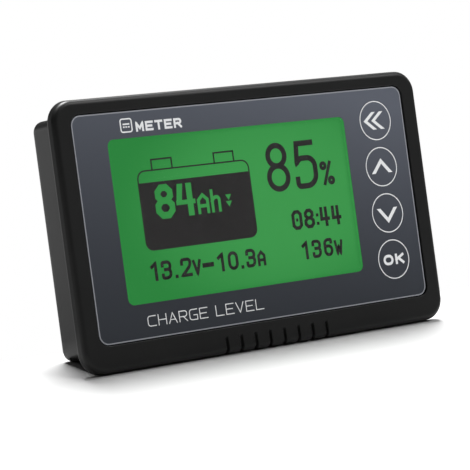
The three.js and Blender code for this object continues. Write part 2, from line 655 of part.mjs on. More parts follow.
function keyDisc({ name, x, z }) {
  return meshOf(`key_${name}`, rod(KEY.discR, panelFront, panelBack, x, z, SIDES.fine), MATERIALS.panelFilm);
}

// Pushed by the disc through a hole in the bezel. The collar keeps it from falling out at the front.
function keyPlunger({ name, x, z }) {
  const shaft = rod(PLUNGER.shaftR, panelBack + REST_GAP, stemFront - REST_GAP, x, z);
  const collar = rod(PLUNGER.collarR, collarFront, collarBack, x, z);
  return meshOf(`plunger_${name}`, shaft.add(collar), MATERIALS.plunger);
}

function switchBody({ name, x, z }) {
  const back = boardFront - REST_GAP;
  const body = slab(SWITCH.side, SWITCH.side, SWITCH.cornerR, switchFront, back, x, z);
  const holeFloor = switchFront + SWITCH.stemSunk + KEY.travel + TRAVEL_ROOM;
  const hole = rod(SWITCH.stemR + STEM_GAP, switchFront - CUT, holeFloor, x, z, SIDES.small);
  return meshOf(`switch_${name}`, body.subtract(hole), MATERIALS.switchBody);
}

function switchStem({ name, x, z }) {
  const stem = rod(SWITCH.stemR, stemFront, switchFront + SWITCH.stemSunk, x, z, SIDES.small);
  return meshOf(`stem_${name}`, stem, MATERIALS.whitePlastic);
}

// ---- Assembly -----------------------------------------------------------------------------------------

const housing = new THREE.Group();
housing.add(frontBezel(), rearCase(), ...bossPlaces.map((place, i) => caseScrew(place, i + 1)));

const display = new THREE.Group();
display.add(
  facePanel(),
  panelAdhesive(),
  windowLens(),
  polariser('lcd_front_polariser', frontPolariser),
  glass('lcd_front_glass', longGlassHeight, longGlassZ, frontGlass),
  glass('lcd_rear_glass', glassHeight, windowZ, rearGlass),
  polariser('lcd_rear_polariser', rearPolariser),
  ...backlight(),
  lcdFrame(),
  driverChip(),
  lcdFlex(),
  flexConnector(),
);

const electronics = new THREE.Group();
electronics.add(
  mainBoard(),
  mcuChip(),
  voltageRegulator(),
  powerInductor(),
  canCapacitor('input_capacitor', 0),
  canCapacitor('output_capacitor', 1),
  clockCrystal(),
  cableSocket(),
  ...Array.from({ length: CONTACT.count }, (_, i) => socketContact(i)),
);

const keys = new THREE.Group();
for (const place of keyPlaces) {
  keys.add(keyDisc(place), keyPlunger(place), switchBody(place), switchStem(place));
}

const monitor = new THREE.Group();
monitor.add(housing, display, electronics, keys);
monitor.position.set(0, -totalDepth / 2, BEZEL.height / 2);

export default monitor;
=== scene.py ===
"""Battery meter display unit, as a Blender add-on: fine shapes, prints and finishes round the frame."""

import math

import bmesh
import bpy
from bpy.props import FloatProperty, FloatVectorProperty, IntProperty, PointerProperty
from mathutils import Matrix, Vector
from mathutils.geometry import delaunay_2d_cdt


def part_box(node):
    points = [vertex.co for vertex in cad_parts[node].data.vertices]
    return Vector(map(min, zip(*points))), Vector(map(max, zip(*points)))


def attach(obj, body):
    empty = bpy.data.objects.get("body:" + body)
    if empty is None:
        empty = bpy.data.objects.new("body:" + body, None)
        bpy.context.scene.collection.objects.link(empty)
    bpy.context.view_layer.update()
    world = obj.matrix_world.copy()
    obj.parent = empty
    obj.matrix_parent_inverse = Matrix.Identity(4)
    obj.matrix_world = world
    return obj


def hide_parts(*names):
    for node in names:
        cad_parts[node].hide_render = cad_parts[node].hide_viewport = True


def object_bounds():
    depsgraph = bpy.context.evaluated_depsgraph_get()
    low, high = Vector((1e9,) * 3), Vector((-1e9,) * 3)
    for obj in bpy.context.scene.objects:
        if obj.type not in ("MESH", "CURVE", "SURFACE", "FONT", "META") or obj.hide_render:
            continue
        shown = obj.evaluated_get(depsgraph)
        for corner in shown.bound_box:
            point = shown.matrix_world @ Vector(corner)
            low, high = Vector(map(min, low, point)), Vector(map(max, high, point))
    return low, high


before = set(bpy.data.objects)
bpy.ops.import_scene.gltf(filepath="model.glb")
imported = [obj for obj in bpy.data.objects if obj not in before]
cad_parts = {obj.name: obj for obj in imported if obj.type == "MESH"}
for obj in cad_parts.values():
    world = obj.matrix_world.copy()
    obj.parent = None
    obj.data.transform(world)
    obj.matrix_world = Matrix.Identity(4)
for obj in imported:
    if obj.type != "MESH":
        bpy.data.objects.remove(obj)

bl_info = {
    "name": "Battery meter display unit",
    "version": (1, 0, 0),
    "blender": (4, 5, 0),
    "location": "3D View > Sidebar > Meter",
    "description": "Makes the bezel, case, prints, lit display and finishes of a panel meter",
    "category": "Object",
}

CAD_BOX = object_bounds()
MM = 0.001
KEYS = ("back", "up", "down", "ok")
HOUSING = "housing"

# ---- Places taken from the frame, in metres -----------------------------------------------------------

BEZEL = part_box("front_bezel")
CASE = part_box("rear_case")
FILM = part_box("face_panel")
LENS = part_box("window_lens")
PICTURE_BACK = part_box("lcd_front_polariser")[0].y
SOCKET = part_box("cable_socket")
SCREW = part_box("case_screw_1")
FACE_Y = BEZEL[0].y
CASE_FRONT_Y = CASE[0].y
CASE_BACK_Y = CASE[1].y


def middle(box):
    return (box[0] + box[1]) / 2


def span(box):
    return box[1] - box[0]


# ---- Sizes and colours that a user would change -------------------------------------------------------


def length(name, description, millimetres):
    return FloatProperty(
        name=name, description=description, default=millimetres * MM,
        subtype="DISTANCE", unit="LENGTH", precision=5,
    )


def colour(name, description, rgb):
    return FloatVectorProperty(
        name=name, description=description, default=rgb, subtype="COLOR", size=3, min=0, max=1
    )


def number(name, description, value):
    return FloatProperty(name=name, description=description, default=value, min=0)


class MeterShell(bpy.types.PropertyGroup):
    """The bezel, the rear case and their screws."""

    corner: length("Bezel corner", "Radius of the bezel's corners, seen from the front", 5)
    front_round: length("Front rounding", "Radius along the front edge of the bezel", 1.15)
    back_round: length("Back rounding", "Radius along the back edge of the bezel's flange", 0.25)
    recess_round: length("Recess rounding", "Radius along the edge of the film's recess", 0.12)
    flange: length("Flange", "Thickness of the bezel's flange", 2.5)
    draft: length("Draft", "How much the flange's outer wall leans in towards the front", 0.12)
    case_corner: length("Case corner", "Radius of the rear case's corners, seen from the rear", 2.5)
    case_round: length("Case rounding", "Radius along the rear edge of the case", 1)
    grooves: IntProperty(name="Grooves", description="Number of grip grooves", default=8, min=1)
    groove_pitch: length("Groove pitch", "Distance between two grip grooves", 3.89)
    groove_width: length("Groove width", "Width of a grip groove at its mouth", 1.0)
    groove_wall: length("Groove wall", "Width of a grip groove's sloping side", 0.3)
    groove_depth: length("Groove depth", "Depth of a grip groove", 0.55)
    groove_height: length("Groove height", "How far up the face the grip grooves reach", 3.9)
    groove_middle: length("Groove middle", "Middle of the row of grooves, across the face", 0.85)
    groove_stop: length("Groove stop", "How far behind the face the grip grooves end", 2.2)
    plastic: colour("Plastic", "Colour of the moulded plastic", (0.0065, 0.0067, 0.0066))


class MeterFilm(bpy.types.PropertyGroup):
    """The printed film on the face."""

    # Low and high hold painted light: the film's colour rises from low at the lower left to high at the top
    # and the upper right, as if lit from there.
    low: colour("Slate, low", "Colour of the film at its lower left corner", (0.024, 0.028, 0.036))
    high: colour("Slate, high", "Colour of the film at its upper right corner", (0.102, 0.112, 0.140))
    line: colour("Line", "Colour of the line round the film", (0.30, 0.31, 0.34))
    ink: colour("Ink", "Colour of the white print", (0.86, 0.87, 0.88))
    line_width: length("Line width", "Width of the line round the film", 0.27)
    ring_radius: length("Ring radius", "Radius of the ring printed on a key", 4.4)
    ring_width: length("Ring width", "Width of the ring printed on a key", 0.24)
    thickness: length("Ink thickness", "Height of the print above the film", 0.012)


class MeterDisplay(bpy.types.PropertyGroup):
    """The lit display."""

    dim: colour("Dim light", "Colour of the display along its edges", (0.028, 0.232, 0.050))
    bright: colour("Bright light", "Colour of the display where it is brightest", (0.052, 0.318, 0.078))
    figure: colour("Figures", "Colour of the dark figures", (0.017, 0.0145, 0.0155))


class MeterStage(bpy.types.PropertyGroup):
    """The floor, the lights and the camera."""

    floor: colour("Floor", "Colour of the floor", (0.50, 0.50, 0.50))
    ridge: length("Ridge", "How far behind the case the floor starts to fall away", 2)
    sky: number("Sky", "Brightness of the even light all round", 0.06)
    top_light: number("Top light", "Strength of the broad light above", 9)
    side_light: number("Side light", "Power of the light at the left, in watts", 0.62)
    face_light: number("Face light", "Power of the light on the face, in watts", 2.5)
    lens: number("Focal length", "Focal length of the camera, in millimetres", 177.63)


# ---- Node trees ---------------------------------------------------------------------------------------


class Value:
    """A node's output that takes part in Python arithmetic. Each operation adds a Math node."""

    def __init__(self, tree, socket):
        self.tree = tree
        self.socket = socket

    def __add__(self, other):
        return self.tree.math("ADD", self, other)

    def __sub__(self, other):
        return self.tree.math("SUBTRACT", self, other)

    def __rsub__(self, other):
        return self.tree.math("SUBTRACT", other, self)

    def __mul__(self, other):
        return self.tree.math("MULTIPLY", self, other)

    def __truediv__(self, other):
        return self.tree.math("DIVIDE", self, other)

    def __pow__(self, power):
        return self.tree.math("POWER", self, power)

    def __abs__(self):
        return self.tree.math("ABSOLUTE", self)

    def __neg__(self):
        return self * -1

    __radd__ = __add__
    __rmul__ = __mul__


class Tree:
    """Adds nodes to a shader or geometry tree."""

    def __init__(self, nodes):
        self.nodes = nodes

    def node(self, kind, settings=None, inputs=None, output=0):
        """Adds a node: first its settings, then the values or links of its sockets. Gives an output."""
        made = self.nodes.nodes.new(kind)
        for key, setting in (settings or {}).items():
            setattr(made, key, setting)
        for key, value in (inputs or {}).items():
            self.feed(made, key, value)
        return Value(self, made.outputs[output]) if made.outputs else None

    def feed(self, node, key, value):
        """Sets a socket of a node to a value, or links it to an output."""
        if isinstance(value, Value):
            self.nodes.links.new(value.socket, node.inputs[key])
        else:
            node.inputs[key].default_value = value

    def math(self, operation, *values):
        return self.node("ShaderNodeMath", {"operation": operation}, dict(enumerate(values)))

    def split(self, vector):
        """The X, Y and Z of a vector."""
        made = self.node("ShaderNodeSeparateXYZ", inputs={0: vector}).socket.node
        return [Value(self, made.outputs[i]) for i in range(3)]

    def step(self, value, low, high):
        """0 below low, 1 above high, and a smooth rise between them."""
        inputs = {"Value": value, "From Min": low, "From Max": high}
        return self.node("ShaderNodeMapRange", {"interpolation_type": "SMOOTHSTEP"}, inputs)

    def mix(self, factor, low, high, blend="MIX"):
        """A colour between low and high, or low changed by high in another way of blending."""
        inputs = {0: factor, 6: low, 7: high}
        return self.node("ShaderNodeMix", {"data_type": "RGBA", "blend_type": blend}, inputs, output=2)

    def noise(self, place, size, detail=2.0):
        """Soft random values between 0 and 1, in patches of about that size."""
        inputs = {"Vector": place, "Scale": 1 / size, "Detail": detail}
        return self.node("ShaderNodeTexNoise", inputs=inputs)


class Finish(Tree):
    """A material. The keyword values go to the shader's own sockets."""

    def __init__(self, name, **shader):
        self.material = bpy.data.materials.new(name)
        self.material.use_nodes = True
        super().__init__(self.material.node_tree)
        self.nodes.nodes.clear()
        surface = self.node("ShaderNodeBsdfPrincipled")
        self.node("ShaderNodeOutputMaterial", inputs={"Surface": surface})
        self.surface = surface.socket.node
        self.set(**shader)
        self.place = self.node("ShaderNodeTexCoord", output="Object")

    def set(self, **values):
        """Sets or links sockets of the shader. An underscore stands for a space in a socket's name."""
        for key, value in values.items():
            self.feed(self.surface, key.replace("_", " "), value)

    def bump(self, height, depth):
        """Raises the surface by up to depth where height is 1."""
        inputs = {"Height": height, "Distance": depth, "Strength": 1.0}
        self.set(Normal=self.node("ShaderNodeBump", inputs=inputs))


class Recipe(Tree):
    """A geometry tree with named inputs. It is run on a mesh and leaves a plain mesh."""

    def __init__(self, name, **inputs):
        super().__init__(bpy.data.node_groups.new(name, "GeometryNodeTree"))
        face = self.nodes.interface
        for direction in ("INPUT", "OUTPUT"):
            face.new_socket("Geometry", in_out=direction, socket_type="NodeSocketGeometry")
        self.identifiers = {}
        for key, kind in {**inputs, "finish": "Material"}.items():
            socket = face.new_socket(key.capitalize(), in_out="INPUT", socket_type=f"NodeSocket{kind}")
            self.identifiers[key] = socket.identifier
        self.start = self.nodes.nodes.new("NodeGroupInput")

    def input(self, key):
        return Value(self, self.start.outputs[key.capitalize()])

    def end(self, geometry):
        """Ends the tree in real geometry with its material."""
        real = self.node("GeometryNodeRealizeInstances", inputs={0: geometry})
        inputs = {"Geometry": real, "Material": self.input("finish")}
        painted = self.node("GeometryNodeSetMaterial", inputs=inputs)
        self.node("NodeGroupOutput", inputs={0: painted})

    def run(self, mesh, **values):
        """The plain mesh that the tree makes of a mesh."""
        piece = linked("raw", mesh)
        modifier = piece.modifiers.new("recipe", "NODES")
        modifier.node_group = self.nodes
        for key, value in values.items():
            modifier[self.identifiers[key]] = value
        piece.update_tag()
        return baked(piece)


# ---- Objects and meshes -------------------------------------------------------------------------------

CORNER_STEPS = 12
ROD_STEPS = 48
HEAD_STEPS = 32


def linked(name, data):
    """A new object in the scene."""
    made = bpy.data.objects.new(name, data)
    bpy.context.scene.collection.objects.link(made)
    return made


def baked(piece):
    """The plain mesh that an object's modifiers leave of it. The object is removed."""
    bpy.context.view_layer.update()
    shown = piece.evaluated_get(bpy.context.evaluated_depsgraph_get())
    mesh = bpy.data.meshes.new_from_object(shown)
    piece.modifiers.clear()
    bpy.data.objects.remove(piece)
    return mesh


def closed_mesh(name, points, faces, sharp_angle=None):
    """A closed mesh with its faces outwards. With an angle, edges flatter than it are shaded smooth."""
    shape = bmesh.new()
    corners = [shape.verts.new(p) for p in points]
    for face in faces:
        shape.faces.new([corners[i] for i in face])
    bmesh.ops.recalc_face_normals(shape, faces=shape.faces)
    if shape.calc_volume(signed=True) < 0:
        bmesh.ops.reverse_faces(shape, faces=shape.faces)
    mesh = bpy.data.meshes.new(name)
    shape.to_mesh(mesh)
    shape.free()
    if sharp_angle:
        smooth(mesh, sharp_angle)
    return mesh


def smooth(mesh, sharp_angle):
    mesh.polygons.foreach_set("use_smooth", [True] * len(mesh.polygons))
    mesh.set_sharp_from_angle(angle=math.radians(sharp_angle))


def frame_ring(size, corner, middle_z, y, inset=0.0, columns=(), least=0.0):
    """Points round a rounded rectangle that stands at depth y.

    The inset moves every side in and takes as much from the corner's radius, down to the least radius.
    The lower edge has extra points at the X of the columns.
    """
    radius = max(corner - inset, least)
    ring = []
    for side_x, side_z, start in ((1, -1, -90), (1, 1, 0), (-1, 1, 90), (-1, -1, 180)):
        x = side_x * (size.x / 2 - inset - radius)
        z = middle_z + side_z * (size.z / 2 - inset - radius)
        for i in range(CORNER_STEPS + 1):
            angle = math.radians(start + 90 * i / CORNER_STEPS)
            ring.append(Vector((x + radius * math.cos(angle), y, z + radius * math.sin(angle))))
    ring += [Vector((x, y, middle_z - size.z / 2 + inset)) for x in columns]
    return ring


def round_ring(x, z, radius, y, steps=ROD_STEPS):
    turns = [2 * math.pi * i / steps for i in range(steps)]
    return [Vector((x + radius * math.cos(a), y, z + radius * math.sin(a))) for a in turns]


def arc_steps(count):
    """Pairs that run a quarter turn: how far in, and how far along, as shares of the radius."""
    turns = [math.pi / 2 * i / count for i in range(count + 1)]
    return [(1 - math.sin(a), 1 - math.cos(a)) for a in turns]


def loft(rings):
    """Points and faces of the solid through rings with equal numbers of points, closed at both ends."""
    count = len(rings[0])
    points = [p for ring in rings for p in ring]
    faces = [list(range(count)), list(range(len(points) - count, len(points)))]
    for start in range(0, len(points) - count, count):
        for i in range(count):
            j = (i + 1) % count
            faces.append([start + i, start + j, start + count + j, start + count + i])
    return points, faces


def together(*solids):
    """Points and faces of several solids in one mesh."""
    points, faces = [], []
    for more_points, more_faces in solids:
        faces += [[i + len(points) for i in face] for face in more_faces]
        points += more_points
    return points, faces


def turned(places, profile):
    """The same round solid at each place, along Y. The profile is a list of radii with their depths."""
    return together(*[loft([round_ring(p.x, p.z, radius, y) for radius, y in profile]) for p in places])


def rods(places, radius, y0, y1):
    return turned(places, ((radius, y0), (radius, y1)))


def box_solid(low, high):
    ring = [(low.x, low.z), (high.x, low.z), (high.x, high.z), (low.x, high.z)]
    return loft([[Vector((x, y, z)) for x, z in ring] for y in (low.y, high.y)])


def carved(mesh, sharp_angle, *jobs):
    """The mesh after solids are added to it or cut from it. A job is an operation and a solid."""
    piece = linked("raw", mesh)
    tools = []
    for operation, solid in jobs:
        tools.append(linked("tool", closed_mesh("tool", *solid)))
        modifier = piece.modifiers.new("carve", "BOOLEAN")
        modifier.operation = operation
        modifier.solver = "EXACT"
        modifier.object = tools[-1]
    made = baked(piece)
    for tool in tools:
        bpy.data.objects.remove(tool)
    smooth(made, sharp_angle)
    return made


def put(name, mesh, finish, body, slot, *replaced):
    """A finished piece: what it looks like, rides on, takes its finish from and stands for."""
    mesh.materials.clear()
    mesh.materials.append(finish.material)
    piece = linked(name, mesh)
    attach(piece, body)
    if replaced:
        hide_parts(*replaced)
    return piece


def dress(finish, *nodes):
    """Gives pieces of the frame their finish."""
    for name in nodes:
        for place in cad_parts[name].material_slots:
            place.material = finish.material


# ---- Flat shapes for prints and figures ---------------------------------------------------------------

# A straight chamfer reaches less far along the sides than a round corner of the same radius.
CHAMFER_SHARE = 0.56
# Points of a path that lie closer than this, in millimetres, are one point.
SAME_POINT = 0.001
# A bend flatter than this, as the sine of its angle, needs no wedge.
STRAIGHT = 1e-4
# A wedge's tip reaches no further than half the line's width over this.
SHORTEST_TIP = 0.6
# How close points of a slab may lie to be joined, in millimetres.
SLAB_JOIN = 1e-5


def rounded(points, size_x, size_y, closed, bend):
    """A path through points given as shares of a size.

    A point's third number rounds its corner, by a share of the width, in a number of bends.
    """
    path = []
    count = len(points)
    places = [Vector((p[0] * size_x, p[1] * size_y)) for p in points]
    for i, (point, here) in enumerate(zip(points, places)):
        radius = point[2] * size_x if len(point) > 2 else 0
        radius *= CHAMFER_SHARE if bend == 1 else 1
        if not radius or (not closed and i in (0, count - 1)):
            path.append(here)
            continue
        before = places[i - 1] - here
        after = places[(i + 1) % count] - here
        reach = min(radius, before.length / 2, after.length / 2)
        start = here + before.normalized() * reach
        end = here + after.normalized() * reach
        for k in range(bend + 1):
            t = k / bend
            shares = ((1 - t) ** 2, 2 * t * (1 - t) * math.sqrt(0.5), t ** 2)
            path.append((start * shares[0] + here * shares[1] + end * shares[2]) / sum(shares))
    return path


def stroke(path, width, closed):
    """Convex outlines that together cover a line along a path: its lengths, and wedges at its bends."""
    half = width / 2
    path = [p for p, before in zip(path, [path[-1], *path]) if (p - before).length > SAME_POINT]
    if not closed:
        path[0] = path[0] + (path[0] - path[1]).normalized() * half
        path[-1] = path[-1] + (path[-1] - path[-2]).normalized() * half
    count = len(path)
    lengths = [(path[i], path[(i + 1) % count]) for i in range(count if closed else count - 1)]
    sides = [(b - a).orthogonal().normalized() * half for a, b in lengths]
    shapes = [[a - s, b - s, b + s, a + s] for (a, b), s in zip(lengths, sides)]
    for i in range(0 if closed else 1, len(lengths)):
        corner = lengths[i][0]
        first, second = sides[i - 1], sides[i]
        turn = first.cross(second)
        if abs(turn) < STRAIGHT * half * half:
            continue
        if turn > 0:
            first, second = -first, -second
        tip = (first + second).normalized()
        reach = half / max(tip.dot(first) / half, SHORTEST_TIP)
        shapes.append([corner, corner + first, corner + tip * reach, corner + second])
    return shapes


def upright(shape):
    """The outline counter-clockwise."""
    area = sum(a.cross(b) for a, b in zip(shape, shape[1:] + shape[:1]))
    return shape if area > 0 else shape[::-1]


def slab(filled, cut, y0, y1):
    """A solid between two depths, over every filled outline and outside every cut one."""
    corners, outlines = [], []
    for shape in (*filled, *cut):
        outlines.append(list(range(len(corners), len(corners) + len(shape))))
        corners += upright(shape)
    flat = delaunay_2d_cdt([p * (1 / MM) for p in corners], [], outlines, 1, SLAB_JOIN)
    places, triangles, sources = flat[0], flat[2], flat[5]
    first_cut = len(filled)
    kept = [
        face for face, source in zip(triangles, sources)
        if source and max(source) < first_cut
    ]
    sides = {}
    for face in kept:
        for a, b in zip(face, face[1:] + face[:1]):
            if (b, a) in sides:
                del sides[(b, a)]
            else:
                sides[(a, b)] = True
    used = sorted({i for face in kept for i in face})
    index = {old: new for new, old in enumerate(used)}
    count = len(used)
    points = [Vector((places[i].x * MM, y, places[i].y * MM)) for y in (y0, y1) for i in used]
    solid = [[index[i] for i in face] for face in kept]
    solid += [[count + i for i in face[::-1]] for face in solid]
    solid += [[index[a], index[b], count + index[b], count + index[a]] for a, b in sides]
    return points, solid


def flat_piece(name, filled, cut, y0, y1, finish, body, slot):
    """A finished piece of even thickness between two depths."""
    put(name, closed_mesh(name, *slab(filled, cut, y0, y1)), finish, body, slot)


# Each sign is a list of lines. A line is a list of points in a box of one by one, where a point's third
# number rounds its corner. A line that starts with LOOP is closed.
LOOP = "loop"
SIGNS = {
    "0": [[LOOP, (0, 0, .5), (1, 0, .5), (1, 1, .5), (0, 1, .5)]],
    "1": [[(0, .8), (1, 1), (1, 0)]],
    "2": [[(0, .74), (0, 1, .5), (1, 1, .5), (1, .6, .4), (0, 0), (1, 0)]],
    "3": [
        [(0, .8), (0, 1, .5), (1, 1, .5), (1, .53, .42), (.35, .53)],
        [(.35, .53), (1, .53, .42), (1, 0, .5), (0, 0, .5), (0, .2)],
    ],
    "4": [[(.04, 1), (0, .36), (1, .36)], [(.7, 1), (.7, 0)]],
    "5": [[(.9, 1), (.12, 1), (.04, .55), (.2, .65, .2), (1, .65, .5), (1, 0, .5), (0, 0, .5), (0, .17)]],
    "6": [
        [(.96, .82), (.96, 1, .5), (0, 1, .5), (0, 0, .5), (1, 0, .5), (1, .58, .5), (0, .58, .5), (0, .4)],
    ],
    "8": [
        [LOOP, (.06, .53, .45), (.94, .53, .45), (.94, 1, .45), (.06, 1, .45)],
        [LOOP, (0, 0, .5), (1, 0, .5), (1, .53, .5), (0, .53, .5)],
    ],
    "V": [[(0, 1), (.5, 0), (1, 1)]],
    "A": [[(0, 0), (.5, 1), (1, 0)], [(.18, .34), (.82, .34)]],
    "a": [[(0, 0), (0, .72), (.5, 1), (1, .72), (1, 0)], [(0, .36), (1, .36)]],
    "W": [[(0, 1), (.25, 0), (.5, .6), (.75, 0), (1, 1)]],
    "h": [[(0, 0), (0, 1)], [(0, .5), (.3, .68, .3), (1, .68, .4), (1, 0)]],
    "C": [[(1, .98), (0, .98, .3), (0, .02, .3), (1, .02)]],
    "E": [[(1, 1), (0, 1), (0, 0), (1, 0)], [(0, .5), (.85, .5)]],
    "G": [[(1, 1), (0, 1, .3), (0, 0, .3), (1, 0), (1, .45), (.55, .45)]],
    "H": [[(0, 0), (0, 1)], [(1, 0), (1, 1)], [(0, .5), (1, .5)]],
    "K": [[(0, 0), (0, 1)], [(1, 1), (0, .42)], [(.32, .6), (1, 0)]],
    "L": [[(0, 1), (0, 0), (1, 0)]],
    "M": [[(0, 0), (0, 1), (.5, .3), (1, 1), (1, 0)]],
    "O": [[LOOP, (0, 0, .42), (1, 0, .42), (1, 1, .42), (0, 1, .42)]],
    "R": [[(0, 0), (0, 1), (1, 1, .35), (1, .46, .35), (0, .46)], [(.5, .46), (1, 0)]],
    "T": [[(0, 1), (1, 1)], [(.5, 1), (.5, 0)]],
}

# Outlines of the arrow heads on the keys, in millimetres from the key's middle.
ARROWS = {
    "back": (
        ((-3.42, 0), (-0.90, 2.0), (0.21, 2.0), (-2.31, 0), (0.21, -2.05), (-0.90, -2.05)),
        ((-1.17, 0), (1.35, 2.0), (2.46, 2.0), (-0.06, 0), (2.46, -2.05), (1.35, -2.05)),
    ),
    "up": (((-3, -1.47), (0, 1.94), (3, -1.47), (1.92, -1.47), (0, 0.71), (-1.92, -1.47)),),
    "down": (((-3, 1.15), (0, -2.35), (3, 1.15), (1.92, 1.15), (0, -1.09), (-1.92, 1.15)),),
}


def metres(shapes):
    return [[Vector(p) * MM for p in shape] for shape in shapes]


def moved(shapes, x, z):
    """The outlines moved by a distance in metres."""
    return [[p + Vector((x, z)) for p in shape] for shape in shapes]


def sign(name, left, right, low, high, width, bend=5):
    """Outlines of one sign that fills a box, in millimetres. The line stays inside the box."""
    size_x, size_y = right - left - width, high - low - width
    corner = Vector((left + width / 2, low + width / 2))
    shapes = []
    for line in SIGNS[name]:
        closed = line[0] == LOOP
        path = rounded(line[1:] if closed else line, size_x, size_y, closed, bend)
        shapes += stroke([p + corner for p in path], width, closed)
    return metres(shapes)


def row(places, low, high, width, bend=5):
    """Outlines of signs of one height. Each place is a sign with its left and right edge."""
    return [shape for place in places for shape in sign(*place, low, high, width, bend)]


def writing(text, left, right, low, high, width, gap):
    """Outlines of a line of capitals that share the room from left to right. A space is half as wide."""
    shares = [0.5 if letter == " " else 1 for letter in text]
    letter_width = (right - left - gap * (len(text) - 1)) / sum(shares)
    shapes = []
    for letter, share in zip(text, shares):
        if letter != " ":
            shapes += sign(letter, left, left + letter_width, low, high, width)
        left += letter_width * share + gap
    return shapes


def block(left, right, low, high):
    """Outline of a filled rectangle, in millimetres."""
    return metres([[(left, low), (right, low), (right, high), (left, high)]])


def open_line(points, width):
    return metres(stroke([Vector(p) for p in points], width, False))


def round_corners(left, right, low, high, radius, which=(1, 1, 1, 1)):
    """Outline of a rectangle, in millimetres. It is rounded at the chosen corners, lower left one first."""
    steps = 6
    corners = ((left, low, 1, 1), (right, low, -1, 1), (right, high, -1, -1), (left, high, 1, -1))
    outline = []
    for k, ((x, z, inward_x, inward_z), chosen) in enumerate(zip(corners, which)):
        if not chosen:
            outline.append(Vector((x, z)))
            continue
        centre = Vector((x + inward_x * radius, z + inward_z * radius))
        for i in range(steps + 1):
            angle = math.radians(180 + 90 * (k + i / steps))
            outline.append(centre + radius * Vector((math.cos(angle), math.sin(angle))))
    return outline


def frame_line(left, right, low, high, radius, width):
    """Outlines of a line of a width round a rounded rectangle, in millimetres."""
    return metres(stroke(round_corners(left, right, low, high, radius), width, True))


# ---- Finishes -----------------------------------------------------------------------------------------


def rgba(rgb, share=1.0):
    """A colour made lighter or darker by a share."""
    return (*[c * share for c in rgb], 1)


def moulded(name, rgb, rough, grain=0.12 * MM):
    """Moulded plastic: a fine even grain, and slightly uneven gloss where it has been handled."""
    finish = Finish(name, Specular_IOR_Level=0.25)
    fine = finish.noise(finish.place, grain, 3)
    handled = finish.noise(finish.place, 14 * MM)
    finish.set(Base_Color=finish.mix(fine, rgba(rgb, 0.85), rgba(rgb, 1.15)))
    finish.set(Roughness=rough - 0.05 + handled * 0.1)
    finish.bump(fine, 0.004 * MM)
    return finish


def metal(name, rgb, rough):
    """Plated metal with fine marks in one direction."""
    finish = Finish(name, Metallic=1.0)
    stretched = finish.node("ShaderNodeMapping", inputs={"Vector": finish.place, "Scale": (1, 1, 8)})
    marks = finish.noise(stretched, MM, 4)
    cloud = finish.noise(finish.place, 1.5 * MM)
    finish.set(Base_Color=finish.mix(cloud, rgba(rgb, 0.8), rgba(rgb)), Roughness=rough + marks * 0.15)
    finish.bump(marks, 0.002 * MM)
    return finish


def clear(name, rgb, alpha, rough=0.06):
    """Clear plastic or glass, with a faint haze."""
    finish = Finish(name, Base_Color=rgba(rgb), Specular_IOR_Level=0.5)
    haze = finish.noise(finish.place, 9 * MM)
    finish.set(Alpha=alpha - 0.01 + haze * 0.02, Roughness=rough + haze * 0.04)
    return finish


def slate_film(film):
    """Satin printed film: slate ink under painted light, lighter towards the upper right, with a very fine
    texture.
    """
    finish = Finish("satin slate film", Specular_IOR_Level=0.3)
    x, _, z = finish.split(finish.place)
    size = span(FILM)
    across = finish.math("MAXIMUM", (x - FILM[0].x) / size.x, 0.0)
    along = finish.math("MAXIMUM", (z - FILM[0].z) / size.z, 0.0)
    fine = finish.noise(finish.place, 0.08 * MM)
    # Painted light: the slate is made lighter towards the top and most towards the upper right, as if a
    # light stood there.
    lighter = along ** 1.7 * 0.66 + across ** 1.5 * (along * 0.45 + 0.05)
    slate = finish.mix(lighter, rgba(film.low), rgba(film.high))
    speck = finish.mix(fine, rgba((0.94,) * 3), rgba((1.06,) * 3))
    finish.set(Base_Color=finish.mix(1.0, slate, speck, "MULTIPLY"), Roughness=0.42 + fine * 0.06)
    finish.bump(fine, 0.0015 * MM)
    return finish


def ink(name, rgb, rough=0.5):
    """Screen-printed ink with a slightly uneven film."""
    finish = Finish(name, Specular_IOR_Level=0.3)
    cover = finish.noise(finish.place, 0.25 * MM)
    finish.set(Base_Color=finish.mix(cover, rgba(rgb, 0.92), rgba(rgb)), Roughness=rough + cover * 0.1)
    return finish


def lit_picture(display):
    """The lit background of the display: brightest right of its middle, dimmer towards its edges."""
    finish = Finish("lit display", Specular_IOR_Level=0.0, Emission_Strength=1.0)
    x, _, z = finish.split(finish.place)
    centre, size = middle(LENS), span(LENS)
    dim_edge = 1.1 * MM
    u = (x - centre.x - size.x * 0.20) / (size.x * 0.72)
    v = (z - centre.z - size.z * 0.04) / (size.z * 0.80)
    spread = finish.step(u * u + v * v, 0.0, 1.0)
    edge_x = finish.step(size.x / 2 - abs(x - centre.x), 0.0, dim_edge)
    edge_z = finish.step(size.z / 2 - abs(z - centre.z), 0.0, dim_edge)
    lit = (1 - spread) * (0.55 + edge_x * edge_z * 0.45)
    glow = finish.mix(lit, rgba(display.dim), rgba(display.bright))
    finish.set(Emission_Color=glow, Roughness=0.6 - lit * 0.05)
    finish.set(Base_Color=finish.mix(lit, (0.001, 0.006, 0.002, 1), (0.002, 0.008, 0.003, 1)))
    return finish


def solder_mask():
    """Green board: tracks show as faint raised lines under the mask."""
    finish = Finish("circuit board", Specular_IOR_Level=0.5)
    flattened = finish.node("ShaderNodeMapping", inputs={"Vector": finish.place, "Scale": (1, 0, 1)})
    inputs = {"Vector": flattened, "Scale": 1 / (2.4 * MM), "Mortar Size": 0.03}
    tracks = finish.node("ShaderNodeTexBrick", {"offset": 0.5, "squash": 0.6}, inputs, "Fac")
    blotch = finish.noise(finish.place, 3 * MM)
    green = finish.mix(blotch, (0.010, 0.085, 0.032, 1), (0.014, 0.11, 0.042, 1))
    finish.set(Base_Color=finish.mix(tracks * 0.5, green, (0.03, 0.17, 0.07, 1)))
    finish.set(Roughness=0.3 + blotch * 0.1)
    finish.bump(tracks, 0.02 * MM)
    return finish


# ---- Fixed sizes of the mouldings, in metres ----------------------------------------------------------

